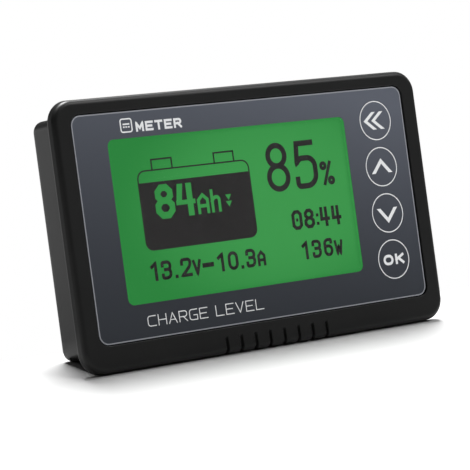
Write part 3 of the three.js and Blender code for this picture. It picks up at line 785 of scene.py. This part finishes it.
# The recess for the film: the gap round the film, the gap behind it, and its corners.
RECESS_GAP = 0.25 * MM
RECESS_UNDER = 0.22 * MM
RECESS_CORNER = 2.45 * MM
# The seat in the bezel's back that takes the case's rim: the gap round the case, and its depth.
SEAT_GAP = 0.15 * MM
SEAT_DEPTH = 0.4 * MM
# The skirt that reaches from the bezel into the case: how far in from the case's outside, and its sizes.
SKIRT_INSET = 1.75 * MM
SKIRT_WALL = 1.2 * MM
SKIRT_DEPTH = 3 * MM
SKIRT_INNER_CORNER = 0.5 * MM
# The case's wall, its corners on the inside, and the rounding of its rim.
CASE_WALL = 1.6 * MM
INNER_CORNER = 1.05 * MM
RIM_ROUND = 0.12 * MM
# Rows of faces on the bezel's front, which the grooves bend.
FACE_ROWS = 20

# Holes for the plungers, pockets behind the key discs, and gaps round the glass and the socket.
KEY_GUIDE_RADIUS = 1.65 * MM
KEY_POCKET_RADIUS = 4.8 * MM
KEY_POCKET = (FACE_Y + 0.4 * MM, FACE_Y + 1.25 * MM)
GLASS_GAP = Vector((0.3 * MM, 0, 0.3 * MM))
SOCKET_GAP = Vector((0.2 * MM, 0, 0.2 * MM))
OPENINGS_FRONT = FACE_Y + 0.5 * MM
GUIDES_FRONT = FACE_Y + 0.6 * MM

# Screw bosses with pilot holes in the bezel, and posts with passages and wells for the heads in the case.
BOSS_RADIUS = 2.1 * MM
BOSS_END = FACE_Y + 9.45 * MM
PILOT_RADIUS = 1.05 * MM
PILOT_FRONT = FACE_Y + 4.35 * MM
POST_RADIUS = 2.9 * MM
POST_FRONT = FACE_Y + 9.5 * MM
PASSAGE_RADIUS = 1.2 * MM
WELL_RADIUS = 2.0 * MM
WELL_MOUTH = 0.15 * MM
# Radii of a screw's shank and head, the height of its head, and the height of the round top of it.
SCREW_SHANK = 1.0 * MM
SCREW_HEAD = 1.8 * MM
SCREW_HEAD_HEIGHT = 1.3 * MM
SCREW_CROWN = 0.75 * MM

# Corners of the clear window.
WINDOW_CORNER = 1.45 * MM
# How far round to the left the usual view stands.
VIEW_TURN = math.radians(35)
# Low and high edge of the display's last row, its line's width and the top of its units, in millimetres.
LAST_ROW = (11.85, 15.95)
ROW_LINE = 0.73
UNIT_TOP = 15.25

SCREWS = [f"case_screw_{i}" for i in range(1, 5)]
SCREW_PLACES = [middle(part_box(name)) for name in SCREWS]
KEY_PLACES = {key: middle(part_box(f"key_{key}")) for key in KEYS}


# ---- Pieces -------------------------------------------------------------------------------------------


class METER_OT_front_bezel(bpy.types.Operator):
    """Make the bezel: flange, recess for the film, grip grooves, skirt and bosses"""

    bl_idname = "meter.front_bezel"
    bl_label = "Front Bezel"

    def execute(self, context):
        shell = context.scene.meter_shell
        whole = closed_mesh("bezel", *loft(self.sections(shell)), 40)
        finish = moulded("black bezel plastic", shell.plastic, 0.42)
        grooved = self.groove_recipe().run(
            whole, finish=finish.material, count=shell.grooves, pitch=shell.groove_pitch,
            width=shell.groove_width, wall=shell.groove_wall, depth=shell.groove_depth,
            height=shell.groove_height, offset=shell.groove_middle, stop=FACE_Y + shell.groove_stop,
        )
        mesh = carved(grooved, 40, *self.openings(FACE_Y + shell.flange))
        put("bezel", mesh, finish, HOUSING, "housing_plastic", "front_bezel")
        return {"FINISHED"}

    def columns(self, shell):
        """The X of the lower edge's extra points: closer together where a groove's sides slope."""
        half = (.1, .2, .26, .34, .42, .5, .62)
        shares = [*[-share for share in reversed(half)], 0, *half]
        first = shell.groove_middle - (shell.grooves - 1) / 2 * shell.groove_pitch
        centres = [first + i * shell.groove_pitch for i in range(shell.grooves)]
        return [c + share * shell.groove_width for c in centres for share in shares]

    def sections(self, shell):
        """Rings from the recess's floor over the face and the flange to the inside of the skirt."""
        columns = self.columns(shell)

        def rings(box, size, corner, steps):
            return [
                frame_ring(size, corner, middle(box).z, y, inset, columns, least)
                for inset, y, least in steps
            ]

        lip, front, small = shell.recess_round, shell.front_round, shell.back_round
        draft, straight = shell.draft, shell.flange - shell.front_round - shell.back_round
        back = FACE_Y + shell.flange
        recess = span(FILM) + Vector((2 * RECESS_GAP, 0, 2 * RECESS_GAP))
        steps = [(0, FILM[1].y + RECESS_UNDER, 0)]
        steps += [(-lip * outward, FACE_Y + lip * along, 0) for along, outward in arc_steps(4)]
        inner = rings(FILM, recess, RECESS_CORNER, steps)
        steps = [(draft + front * inward, FACE_Y + front * along, 0) for inward, along in arc_steps(8)]
        shares = [i / 4 for i in range(1, 5)]
        steps += [(draft * (1 - share), FACE_Y + front + straight * share, 0) for share in shares]
        steps += [(small * inward, back - small * along, 0) for along, inward in arc_steps(3)[1:]]
        outer = rings(BEZEL, span(BEZEL), shell.corner, steps)
        shares = [i / FACE_ROWS for i in range(1, FACE_ROWS)]
        face = [[a.lerp(b, share) for a, b in zip(inner[-1], outer[0])] for share in shares]
        skirt_end = back + SKIRT_DEPTH
        inside = SKIRT_INSET + SKIRT_WALL
        behind = rings(BEZEL, span(CASE), shell.case_corner, (
            (-SEAT_GAP, back, 0),
            (-SEAT_GAP, back - SEAT_DEPTH, 0),
            (SKIRT_INSET, back - SEAT_DEPTH, INNER_CORNER),
            (SKIRT_INSET, skirt_end, INNER_CORNER),
            (inside, skirt_end, SKIRT_INNER_CORNER),
            (inside, back, SKIRT_INNER_CORNER),
        ))
        return [*inner, *face, *outer, *behind]

    def groove_recipe(self):
        """Moves the lower edge's points inwards along their normals, in a row of equal grooves."""
        numbers = ("pitch", "width", "wall", "depth", "height", "offset", "stop")
        tree = Recipe("grip grooves", count="Int", **{key: "Float" for key in numbers})
        pitch, width, wall, depth, height, offset, stop = [tree.input(key) for key in numbers]
        x, y, z = tree.split(tree.node("GeometryNodeInputPosition"))
        last = tree.input("count") - 1
        nearest = tree.math("ROUND", (x - offset) / pitch + last / 2)
        number = tree.math("MINIMUM", tree.math("MAXIMUM", nearest, 0.0), last)
        away = abs(x - offset - (number - last / 2) * pitch)
        across = 1 - tree.step(away, width / 2 - wall, width / 2)
        up = 1 - tree.step(z, height - depth, height)
        back = 1 - tree.step(y, stop - depth, stop)
        inputs = {"Vector": tree.node("GeometryNodeInputNormal"), "Scale": -(depth * across * up * back)}
        move = tree.node("ShaderNodeVectorMath", {"operation": "SCALE"}, inputs)
        inputs = {"Geometry": tree.input("geometry"), "Offset": move}
        tree.end(tree.node("GeometryNodeSetPosition", inputs=inputs))
        return tree

    def openings(self, back):
        """What is added to the bezel, and what is cut from it."""
        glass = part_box("lcd_front_glass")
        low, high = glass[0] - GLASS_GAP, glass[1] + GLASS_GAP
        low.y, high.y = OPENINGS_FRONT, back + MM
        guides = rods(KEY_PLACES.values(), KEY_GUIDE_RADIUS, GUIDES_FRONT, back + MM)
        return (
            ("UNION", rods(SCREW_PLACES, BOSS_RADIUS, back - 0.7 * MM, BOSS_END)),
            ("DIFFERENCE", rods(SCREW_PLACES, PILOT_RADIUS, PILOT_FRONT, BOSS_END + MM)),
            ("DIFFERENCE", together(box_solid(low, high), guides)),
            ("DIFFERENCE", rods(KEY_PLACES.values(), KEY_POCKET_RADIUS, *KEY_POCKET)),
        )


class METER_OT_rear_case(bpy.types.Operator):
    """Make the rear case: rounded shell, screw wells and the slot for the cable socket"""

    bl_idname = "meter.rear_case"
    bl_label = "Rear Case"

    def execute(self, context):
        shell = context.scene.meter_shell
        mesh = closed_mesh("case", *loft(self.sections(shell)))
        mesh = carved(mesh, 35, *self.openings())
        finish = moulded("black case plastic", shell.plastic, 0.40)
        put("case", mesh, finish, HOUSING, "housing_plastic", "rear_case")
        return {"FINISHED"}

    def sections(self, shell):
        """Rings from the inside of the back wall round the front rim to the outside of the back wall."""
        edge = shell.case_round
        flat = 0.5 * MM
        steps = [(CASE_WALL, CASE_BACK_Y - CASE_WALL), (CASE_WALL, CASE_FRONT_Y + 0.1 * MM)]
        steps.append((CASE_WALL - 0.1 * MM, CASE_FRONT_Y))
        steps += [(RIM_ROUND * inward, CASE_FRONT_Y + RIM_ROUND * along) for inward, along in arc_steps(2)]
        steps += [(0, CASE_FRONT_Y + flat), (0, CASE_BACK_Y - edge - flat)]
        steps += [(edge * inward, CASE_BACK_Y - edge * along) for along, inward in arc_steps(10)]
        steps.append((edge + flat, CASE_BACK_Y))
        size, middle_z = span(CASE), middle(CASE).z
        return [
            frame_ring(size, shell.case_corner, middle_z, y, inset, least=INNER_CORNER)
            for inset, y in steps
        ]

    def openings(self):
        """What is added to the case, and what is cut from it."""
        seat = SCREW[1].y - SCREW_HEAD_HEIGHT - 0.05 * MM
        wide = WELL_RADIUS + WELL_MOUTH
        well = (
            (WELL_RADIUS, seat), (WELL_RADIUS, CASE_BACK_Y - WELL_MOUTH),
            (wide, CASE_BACK_Y), (wide, CASE_BACK_Y + MM),
        )
        low, high = SOCKET[0] - SOCKET_GAP, SOCKET[1] + SOCKET_GAP
        low.y, high.y = CASE_BACK_Y - 3 * MM, CASE_BACK_Y + MM
        passages = rods(SCREW_PLACES, PASSAGE_RADIUS, POST_FRONT - 0.5 * MM, CASE_BACK_Y - MM)
        return (
            ("UNION", rods(SCREW_PLACES, POST_RADIUS, POST_FRONT, CASE_BACK_Y - 0.8 * MM)),
            ("DIFFERENCE", turned(SCREW_PLACES, well)),
            ("DIFFERENCE", together(passages, box_solid(low, high))),
        )


class METER_OT_case_screws(bpy.types.Operator):
    """Make the four case screws, with round heads and cross recesses"""

    bl_idname = "meter.case_screws"
    bl_label = "Case Screws"

    def execute(self, context):
        low = Vector((min(p.x for p in SCREW_PLACES), 0, min(p.z for p in SCREW_PLACES)))
        high = Vector((max(p.x for p in SCREW_PLACES), 0, max(p.z for p in SCREW_PLACES)))
        source = linked("screw", self.one_screw())
        finish = metal("zinc plated steel", (0.46, 0.47, 0.48), 0.28)
        mesh = self.grid_recipe().run(
            bpy.data.meshes.new("screws"), finish=finish.material, screw=source,
            across=high.x - low.x, along=high.z - low.z, centre=(low + high) / 2, seed=3,
        )
        bpy.data.objects.remove(source)
        put("case_screws", mesh, finish, HOUSING, "screw_steel", *SCREWS)
        return {"FINISHED"}

    def one_screw(self):
        """A screw along Y at the origin: tip, shank, round head and a tapered cross recess."""
        tip, top = SCREW[0].y, SCREW[1].y
        under, rim = top - SCREW_HEAD_HEIGHT, top - SCREW_CROWN
        edge = 0.08 * MM
        profile = [(0.3 * MM, tip), (SCREW_SHANK, tip + 0.8 * MM), (SCREW_SHANK, under - 0.1 * MM)]
        profile += [(SCREW_SHANK + 0.1 * MM, under), (SCREW_HEAD - edge, under), (SCREW_HEAD, under + edge)]
        turns = [math.pi / 2 * i / 7 for i in range(7)]
        profile += [(SCREW_HEAD * math.cos(a), rim + SCREW_CROWN * math.sin(a)) for a in turns]
        rings = [round_ring(0, 0, radius, y, HEAD_STEPS) for radius, y in profile]
        head = closed_mesh("screw", *loft(rings))
        reach, half = 1.1 * MM, 0.27 * MM
        rings = []
        for depth, share in ((0.95 * MM, 0.45), (0, 1.0), (-MM, 1.0)):
            arm = [Vector(p) * share for p in ((reach, -half), (reach, half), (half, half))]
            quarter = [Matrix.Rotation(math.pi / 2 * i, 2) for i in range(4)]
            ring = [turn @ p for turn in quarter for p in arm]
            rings.append([Vector((p.x, top - depth, p.y)) for p in ring])
        return carved(head, 30, ("DIFFERENCE", loft(rings)))

    def grid_recipe(self):
        """Puts a screw at each corner of a rectangle, each turned by chance about its own axis."""
        tree = Recipe(
            "case screws", screw="Object", across="Float", along="Float", centre="Vector", seed="Int"
        )
        inputs = {"Size X": tree.input("across"), "Size Y": tree.input("along")}
        inputs.update({"Vertices X": 2, "Vertices Y": 2})
        grid = tree.node("GeometryNodeMeshGrid", inputs=inputs)
        inputs = {"Geometry": grid, "Translation": tree.input("centre"), "Rotation": (math.pi / 2, 0, 0)}
        grid = tree.node("GeometryNodeTransform", inputs=inputs)
        one = tree.node("GeometryNodeObjectInfo", inputs={"Object": tree.input("screw")}, output="Geometry")
        inputs = {"Max": math.pi, "Seed": tree.input("seed")}
        random = tree.node("FunctionNodeRandomValue", {"data_type": "FLOAT"}, inputs, 1)
        turn = tree.node("ShaderNodeCombineXYZ", inputs={"Y": random})
        inputs = {"Points": grid, "Instance": one, "Rotation": turn}
        tree.end(tree.node("GeometryNodeInstanceOnPoints", inputs=inputs))
        return tree


class METER_OT_face_film(bpy.types.Operator):
    """Finish the face film and the key discs, and print the line round the film"""

    bl_idname = "meter.face_film"
    bl_label = "Face Film"

    def execute(self, context):
        film = context.scene.meter_film
        dress(slate_film(film), "face_panel", *[f"key_{key}" for key in KEYS])
        dress(moulded("adhesive sheet", (0.48, 0.46, 0.40), 0.8, 0.4 * MM), "panel_adhesive")
        half = film.line_width / 2 / MM
        size = span(FILM) / MM
        inset, corner = half + 0.03, 2.2 - half
        line = frame_line(inset, size.x - inset, inset, size.z - inset, corner, 2 * half)
        shapes = moved(line, FILM[0].x, FILM[0].z)
        y0, y1 = FILM[0].y - film.thickness, FILM[0].y + film.thickness
        flat_piece("film_line", shapes, [], y0, y1, ink("light grey ink", film.line), HOUSING, "face_film")
        return {"FINISHED"}


class METER_OT_film_print(bpy.types.Operator):
    """Print the emblem and word above the display, and the words below it"""

    bl_idname = "meter.film_print"
    bl_label = "Film Print"

    def execute(self, context):
        film = context.scene.meter_film
        prints = {
            "film_emblem": self.emblem(),
            "film_title": writing("METER", 15.9, 27.7, 43.9, 46.0, 0.50, 0.40),
            "film_caption": writing("CHARGE LEVEL", 12.4, 42.9, 2.45, 4.85, 0.2, 0.5),
        }
        white = ink("white ink", film.ink)
        y0, y1 = FILM[0].y - film.thickness, FILM[0].y + film.thickness
        for name, shapes in prints.items():
            shapes = moved(shapes, FILM[0].x, FILM[0].z)
            flat_piece(name, shapes, [], y0, y1, white, HOUSING, "face_film")
        return {"FINISHED"}

    def emblem(self):
        """A rounded square with the sign for direct current: a line over three dashes.

        In millimetres from the film's lower left corner.
        """
        x, z = 13.55, 45.45
        half, dash, pitch, thick, gap = 1.4, 0.4, 0.62, 0.33, 0.29
        shapes = frame_line(x - half, x + half, z - half, z + half, 0.5, 0.3)
        shapes += block(x - 0.85, x + 0.85, z + 0.12, z + 0.12 + thick)
        for i in (-1, 0, 1):
            left, low = x + i * pitch - dash / 2, z + 0.12 - gap - thick
            shapes += block(left, left + dash, low, low + thick)
        return shapes


class METER_OT_keys(bpy.types.Operator):
    """Print a ring and a sign on each key, and finish its plunger, stem and switch"""

    bl_idname = "meter.keys"
    bl_label = "Keys"

    def execute(self, context):
        film = context.scene.meter_film
        white = ink("white key ink", film.ink)
        recipe = self.ring_recipe()
        signs = {key: metres(shapes) for key, shapes in ARROWS.items()}
        signs["ok"] = row((("O", -3.0, -0.1), ("K", 0.45, 3.0)), -1.25, 1.15, 0.62)
        for key, place in KEY_PLACES.items():
            front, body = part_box(f"key_{key}")[0].y, f"key_{key}"
            centre = Vector((place.x, front, place.z))
            ring = recipe.run(
                bpy.data.meshes.new(f"{key}_ring"), finish=white.material, radius=film.ring_radius,
                line=film.ring_width, thickness=2 * film.thickness, centre=centre,
            )
            put(f"{key}_ring", ring, white, body, "face_film")
            shapes = moved(signs[key], place.x, place.z)
            y0, y1 = front - film.thickness, front + film.thickness
            flat_piece(f"{key}_sign", shapes, [], y0, y1, white, body, "face_film")
        for part, finish in (
            ("plunger", moulded("grey plunger plastic", (0.04, 0.042, 0.045), 0.5)),
            ("stem", moulded("white stem plastic", (0.76, 0.76, 0.73), 0.4)),
            ("switch", moulded("black switch plastic", (0.025, 0.026, 0.028), 0.45)),
        ):
            dress(finish, *[f"{part}_{key}" for key in KEYS])
        return {"FINISHED"}

    def ring_recipe(self):
        """Runs a small rectangle round a circle."""
        tree = Recipe("key ring", radius="Float", line="Float", thickness="Float", centre="Vector")
        inputs = {"Resolution": 96, "Radius": tree.input("radius")}
        circle = tree.node("GeometryNodeCurvePrimitiveCircle", inputs=inputs)
        inputs = {"Width": tree.input("line"), "Height": tree.input("thickness")}
        section = tree.node("GeometryNodeCurvePrimitiveQuadrilateral", inputs=inputs)
        ring = tree.node("GeometryNodeCurveToMesh", inputs={"Curve": circle, "Profile Curve": section})
        inputs = {"Geometry": ring, "Translation": tree.input("centre"), "Rotation": (math.pi / 2, 0, 0)}
        tree.end(tree.node("GeometryNodeTransform", inputs=inputs))
        return tree


class METER_OT_display(bpy.types.Operator):
    """Light the display, draw its figures and finish the layers behind it"""

    bl_idname = "meter.display"
    bl_label = "Display"

    def execute(self, context):
        display = context.scene.meter_display
        lit = lit_picture(display)
        dress(lit, "lcd_front_polariser")
        self.window(clear("clear window", (0.01, 0.02, 0.012), 0.035), lit)
        dress(clear("display glass", (0.80, 0.90, 0.84), 0.35), "lcd_front_glass", "lcd_rear_glass")
        dress(clear("rear polariser", (0.05, 0.36, 0.09), 0.6, 0.3), "lcd_rear_polariser")
        dress(moulded("green light guide", (0.05, 0.40, 0.09), 0.2, MM), "lcd_light_guide")
        dress(moulded("white reflector", (0.8, 0.8, 0.78), 0.45), "lcd_reflector")
        dark = ink("dark figures", display.figure, 0.6)
        gap = PICTURE_BACK - LENS[1].y
        y0, y1 = LENS[1].y + 0.2 * gap, LENS[1].y + 0.8 * gap
        cell, on_charge = self.cell()
        figures = {
            "figure_cell": (cell, on_charge),
            "figure_level": (self.level(), []),
            "figure_clock": (self.clock(), []),
            "figure_power": (self.power(), []),
            "figure_current": (self.current(), []),
        }
        # The figures lie behind the film, so for a view from the left they stand this much further right.
        slip = (LENS[1].y - FILM[0].y) * math.tan(VIEW_TURN)
        for name, groups in figures.items():
            filled, cut = [moved(shapes, FILM[0].x + slip, FILM[0].z) for shapes in groups]
            flat_piece(name, filled, cut, y0, y1, dark, HOUSING, "polariser_film")
        return {"FINISHED"}

    def window(self, front, edge):
        """The clear window. Its edge faces glow with the lit picture's finish: painted light that stands
        for the picture mirrored in them.
        """
        size, centre = span(LENS), middle(LENS)
        aside = Vector((centre.x, 0, 0))
        rings = [
            [p + aside for p in frame_ring(size, WINDOW_CORNER, centre.z, y)]
            for y in (LENS[0].y, LENS[1].y)
        ]
        mesh = closed_mesh("window", *loft(rings))
        piece = put("window", mesh, front, HOUSING, "window_clear", "window_lens")
        # Painted reflection: the window's edge faces take the glowing picture's finish.
        piece.data.materials.append(edge.material)
        for face in piece.data.polygons:
            face.material_index = int(abs(face.normal.y) < 0.5)

    # The figures are drawn in millimetres from the film's lower left corner.

    def cell(self):
        """A cell with two posts, filled to its charge, and the reading that is cut from the charge."""
        shapes = frame_line(14.65, 43.75, 18.5, 35.45, 1.8, 0.32)
        for left, right in ((18.55, 23.75), (34.85, 40.05)):
            shapes += open_line(((left, 35.5), (left, 37.7), (right, 37.7), (right, 35.5)), 0.36)
        shapes += metres([round_corners(14.5, 43.9, 18.4, 32.9, 1.8, (1, 1, 0, 0))])
        reading = sign("8", 18.2, 23.2, 24.8, 32.2, 1.45, 1)
        reading += block(23.6, 28.6, 27.35, 28.35) + block(26.5, 28.0, 24.8, 31.9)
        reading += metres([((23.6, 27.4), (25.0, 27.4), (25.75, 31.9), (24.3, 31.9))])
        reading += sign("a", 29.0, 32.1, 24.85, 29.3, 0.75) + sign("h", 32.6, 35.2, 24.85, 29.9, 0.75)
        for z in (28.4, 26.95):
            reading += metres([((36.55, z), (38.15, z), (37.35, z - 1.25))])
        return shapes, reading

    def level(self):
        """The charge in per cent."""
        shapes = sign("8", 48.4, 54.8, 27.55, 38.5, 1.25, 8) + sign("5", 56.2, 62.6, 27.55, 38.4, 1.25, 8)
        for x, z in ((64.2, 32.2), (66.1, 28.8)):
            shapes += frame_line(x - .58, x + .58, z - .6, z + .6, .55, .82)
        return shapes + open_line(((64.2, 28.2), (66.1, 32.8)), 0.8)

    def clock(self):
        """The time left, in hours and minutes. Its first figure is a nought with a dot."""
        low, high, width = 18.65, 23.05, 0.80
        shapes = row((("0", 53.6, 56.5), ("8", 57.0, 59.9)), low, high, width, 1)
        shapes += row((("4", 61.5, 64.2), ("4", 64.8, 67.5)), low, high, width)
        shapes += block(54.75, 55.35, 20.5, 21.2)
        for z in (21.4, 19.5):
            shapes += block(60.4, 61.1, z - .35, z + .35)
        return shapes

    def power(self):
        low, high = LAST_ROW
        figures = (("1", 55.3, 56.95), ("3", 58.1, 60.7), ("6", 61.4, 64.0))
        return row(figures, low, high, ROW_LINE) + sign("W", 64.4, 66.8, low, UNIT_TOP, .62)

    def current(self):
        """The voltage and the current, each with a point, and a dash between them."""
        low, high = LAST_ROW
        shapes = row((
            ("1", 14.8, 16.5), ("3", 17.5, 20.2), ("2", 22.5, 25.4),
            ("1", 32.2, 33.9), ("0", 35.0, 37.75), ("3", 39.8, 42.45),
        ), low, high, ROW_LINE)
        for left in (20.95, 38.35):
            shapes += block(left, left + 0.75, low, low + 0.75)
        shapes += sign("V", 25.6, 27.9, low, UNIT_TOP, .7) + sign("a", 42.9, 45.1, low, UNIT_TOP, .66)
        return shapes + block(28.2, 31.2, 13.25, 14.25)


class METER_OT_inside(bpy.types.Operator):
    """Finish the socket, the circuit board and everything on it"""

    bl_idname = "meter.inside"
    bl_label = "Socket and Board"

    def execute(self, context):
        ivory = moulded("ivory plastic", (0.60, 0.56, 0.44), 0.45)
        dress(ivory, "cable_socket", "flex_connector", "lcd_frame")
        contacts = [f"socket_contact_{i}" for i in range(1, 5)]
        dress(metal("gold plated contacts", (0.80, 0.54, 0.16), 0.18), *contacts)
        dress(solder_mask(), "main_board")
        chips = ("lcd_driver_chip", "mcu_chip", "voltage_regulator", "power_inductor")
        dress(moulded("black epoxy", (0.014, 0.014, 0.015), 0.55, 0.06 * MM), *chips)
        cans = ("input_capacitor", "output_capacitor", "clock_crystal")
        dress(metal("plain can", (0.62, 0.63, 0.65), 0.22), *cans)
        dress(moulded("amber ribbon", (0.45, 0.17, 0.03), 0.3, 0.5 * MM), "lcd_flex_cable")
        lamp = Finish("white lamp", Base_Color=(0.8, 0.8, 0.76, 1), Roughness=0.4, Emission_Strength=0.5)
        glow = lamp.mix(lamp.noise(lamp.place, MM), (0.5, 1, 0.5, 1), (0.7, 1, 0.7, 1))
        lamp.set(Emission_Color=glow)
        dress(lamp, "backlight_led_1", "backlight_led_2")
        return {"FINISHED"}


# ---- Stage --------------------------------------------------------------------------------------------

# Where the camera stands, and its right, up and backward directions.
CAMERA_PLACE = Vector((-0.2968, -0.42125, 0.0249))
CAMERA_AXES = ((0.8119, -0.5685, -0.1330), (0.1084, -0.0771, 0.9911), (-0.5737, -0.8191, -0.0009))
# How far the floor reaches, and the radius of its ridge and the slope behind it.
FLOOR_REACH = 1.5
RIDGE_ROUND = 0.03
RIDGE_FALL = math.radians(12)
RIDGE_STEPS = 12
# Where the broad light above comes from, and how wide it looks.
TOP_LIGHT_FROM = Vector((0.18, 0.17, 1.0))
TOP_LIGHT_WIDTH = math.radians(26)
# Where the other two lights stand, and the lengths of their sides.
SIDE_LIGHT_PLACE, SIDE_LIGHT_SIZE = Vector((-0.22, 0.60, 0.12)), 0.30
FACE_LIGHT_PLACE, FACE_LIGHT_SIZE = Vector((0.34, -0.40, 0.45)), 0.35


class METER_OT_stage(bpy.types.Operator):
    """Make the pale floor, the soft lights and the camera"""

    bl_idname = "meter.stage"
    bl_label = "Stage"

    def execute(self, context):
        scene = context.scene
        stage = scene.meter_stage
        self.floor(stage, self.floor_profile(stage, *self.lean(scene.meter_shell)))
        self.sky(scene, stage)
        top = self.light("top light", "SUN", -TOP_LIGHT_FROM, stage.top_light)
        top.data.angle = TOP_LIGHT_WIDTH
        self.panel_light("side light", SIDE_LIGHT_PLACE, SIDE_LIGHT_SIZE, stage.side_light)
        self.panel_light("face light", FACE_LIGHT_PLACE, FACE_LIGHT_SIZE, stage.face_light)
        self.camera(scene, stage)
        scene.view_settings.view_transform = "Standard"
        return {"FINISHED"}

    def lean(self, shell):
        """The plane that the unit leans back on, under the flange's back edge and the case's rear edge.

        Gives its slope and its height at the middle of the unit.
        """
        small, large = shell.back_round, shell.case_round
        front = Vector((FACE_Y + shell.flange - small, BEZEL[0].z + small))
        rear = Vector((CASE_BACK_Y - large, CASE[0].z + large))
        reach = rear - front
        slope = math.atan2(reach.y, reach.x) - math.asin((large - small) / reach.length)
        up = Vector((-math.sin(slope), math.cos(slope)))
        return slope, (up.dot(front) - small) / up.y

    def floor_profile(self, stage, slope, height):
        """The floor's outline: up the slope under the unit, over a round ridge and down behind it."""
        y = CASE_BACK_Y + stage.ridge
        z = height + y * math.tan(slope)
        centre = Vector((y + RIDGE_ROUND * math.sin(slope), z - RIDGE_ROUND * math.cos(slope)))
        turns = [slope - (slope + RIDGE_FALL) * i / RIDGE_STEPS for i in range(RIDGE_STEPS + 1)]
        ridge = [centre + RIDGE_ROUND * Vector((-math.sin(a), math.cos(a))) for a in turns]
        front = Vector((-FLOOR_REACH, height - FLOOR_REACH * math.tan(slope)))
        fall = (FLOOR_REACH - ridge[-1].x) * math.tan(RIDGE_FALL)
        return [front, *ridge, Vector((FLOOR_REACH, ridge[-1].y - fall))]

    def floor(self, stage, top):
        finish = Finish("pale floor", Specular_IOR_Level=0.1)
        cloud = finish.noise(finish.place, 80 * MM)
        finish.set(Base_Color=finish.mix(cloud, rgba(stage.floor, 0.99), rgba(stage.floor)))
        finish.set(Roughness=0.8 + cloud * 0.1)
        outline = [*top, *[p - Vector((0, MM)) for p in reversed(top)]]
        rings = [[Vector((x, p.x, p.y)) for p in outline] for x in (-FLOOR_REACH, FLOOR_REACH)]
        mesh = closed_mesh("floor", *loft(rings), 40)
        mesh.materials.append(finish.material)
        linked("floor", mesh)

    def sky(self, scene, stage):
        """A sky that is plain white to the camera and dimmer as light."""
        world = bpy.data.worlds.new("white sky")
        world.use_nodes = True
        tree = Tree(world.node_tree)
        tree.nodes.nodes.clear()
        white = (1, 1, 1, 1)
        lighting = tree.node("ShaderNodeBackground", inputs={"Color": white, "Strength": stage.sky})
        shown = tree.node("ShaderNodeBackground", inputs={"Color": white, "Strength": 1.0})
        seen = tree.node("ShaderNodeLightPath", output="Is Camera Ray")
        both = tree.node("ShaderNodeMixShader", inputs={0: seen, 1: lighting, 2: shown})
        tree.node("ShaderNodeOutputWorld", inputs={"Surface": both})
        scene.world = world

    def light(self, name, kind, direction, strength):
        """A light that shines in a direction."""
        data = bpy.data.lights.new(name, kind)
        data.energy = strength
        light = linked(name, data)
        light.rotation_euler = direction.to_track_quat("-Z", "Y").to_euler()
        return light

    def panel_light(self, name, place, size, power):
        """A square light that stands at a place and faces the unit."""
        light = self.light(name, "AREA", middle(CAD_BOX) - place, power)
        light.location = place
        light.data.size = size

    def camera(self, scene, stage):
        data = bpy.data.cameras.new("camera")
        data.lens = stage.lens
        data.sensor_width = 36
        data.clip_start = 0.01
        camera = linked("camera", data)
        turn = Matrix(CAMERA_AXES).transposed()
        camera.matrix_world = Matrix.Translation(CAMERA_PLACE) @ turn.to_4x4()
        scene.camera = camera


# ---- Add-on -------------------------------------------------------------------------------------------

GROUPS = {
    "meter_shell": MeterShell,
    "meter_film": MeterFilm,
    "meter_display": MeterDisplay,
    "meter_stage": MeterStage,
}
MAKERS = (
    METER_OT_front_bezel, METER_OT_rear_case, METER_OT_case_screws, METER_OT_face_film, METER_OT_film_print,
    METER_OT_keys, METER_OT_display, METER_OT_inside, METER_OT_stage,
)


class METER_PT_pieces(bpy.types.Panel):
    """Lists what can be made"""

    bl_label = "Battery Meter"
    bl_idname = "METER_PT_pieces"
    bl_space_type = "VIEW_3D"
    bl_region_type = "UI"
    bl_category = "Meter"

    def draw(self, context):
        for maker in MAKERS:
            self.layout.operator(maker.bl_idname)
        for group in GROUPS:
            values = getattr(context.scene, group)
            box = self.layout.box()
            for key in values.bl_rna.properties.keys():
                if key not in ("rna_type", "name"):
                    box.prop(values, key)


def register():
    for kind in (*GROUPS.values(), *MAKERS, METER_PT_pieces):
        bpy.utils.register_class(kind)
    for name, kind in GROUPS.items():
        setattr(bpy.types.Scene, name, PointerProperty(type=kind))


def unregister():
    for name in GROUPS:
        delattr(bpy.types.Scene, name)
    for kind in reversed((*GROUPS.values(), *MAKERS, METER_PT_pieces)):
        bpy.utils.unregister_class(kind)


def main():
    register()
    for maker in MAKERS:
        group, name = maker.bl_idname.split(".")
        getattr(getattr(bpy.ops, group), name)()


if __name__ == "__main__":
    main()
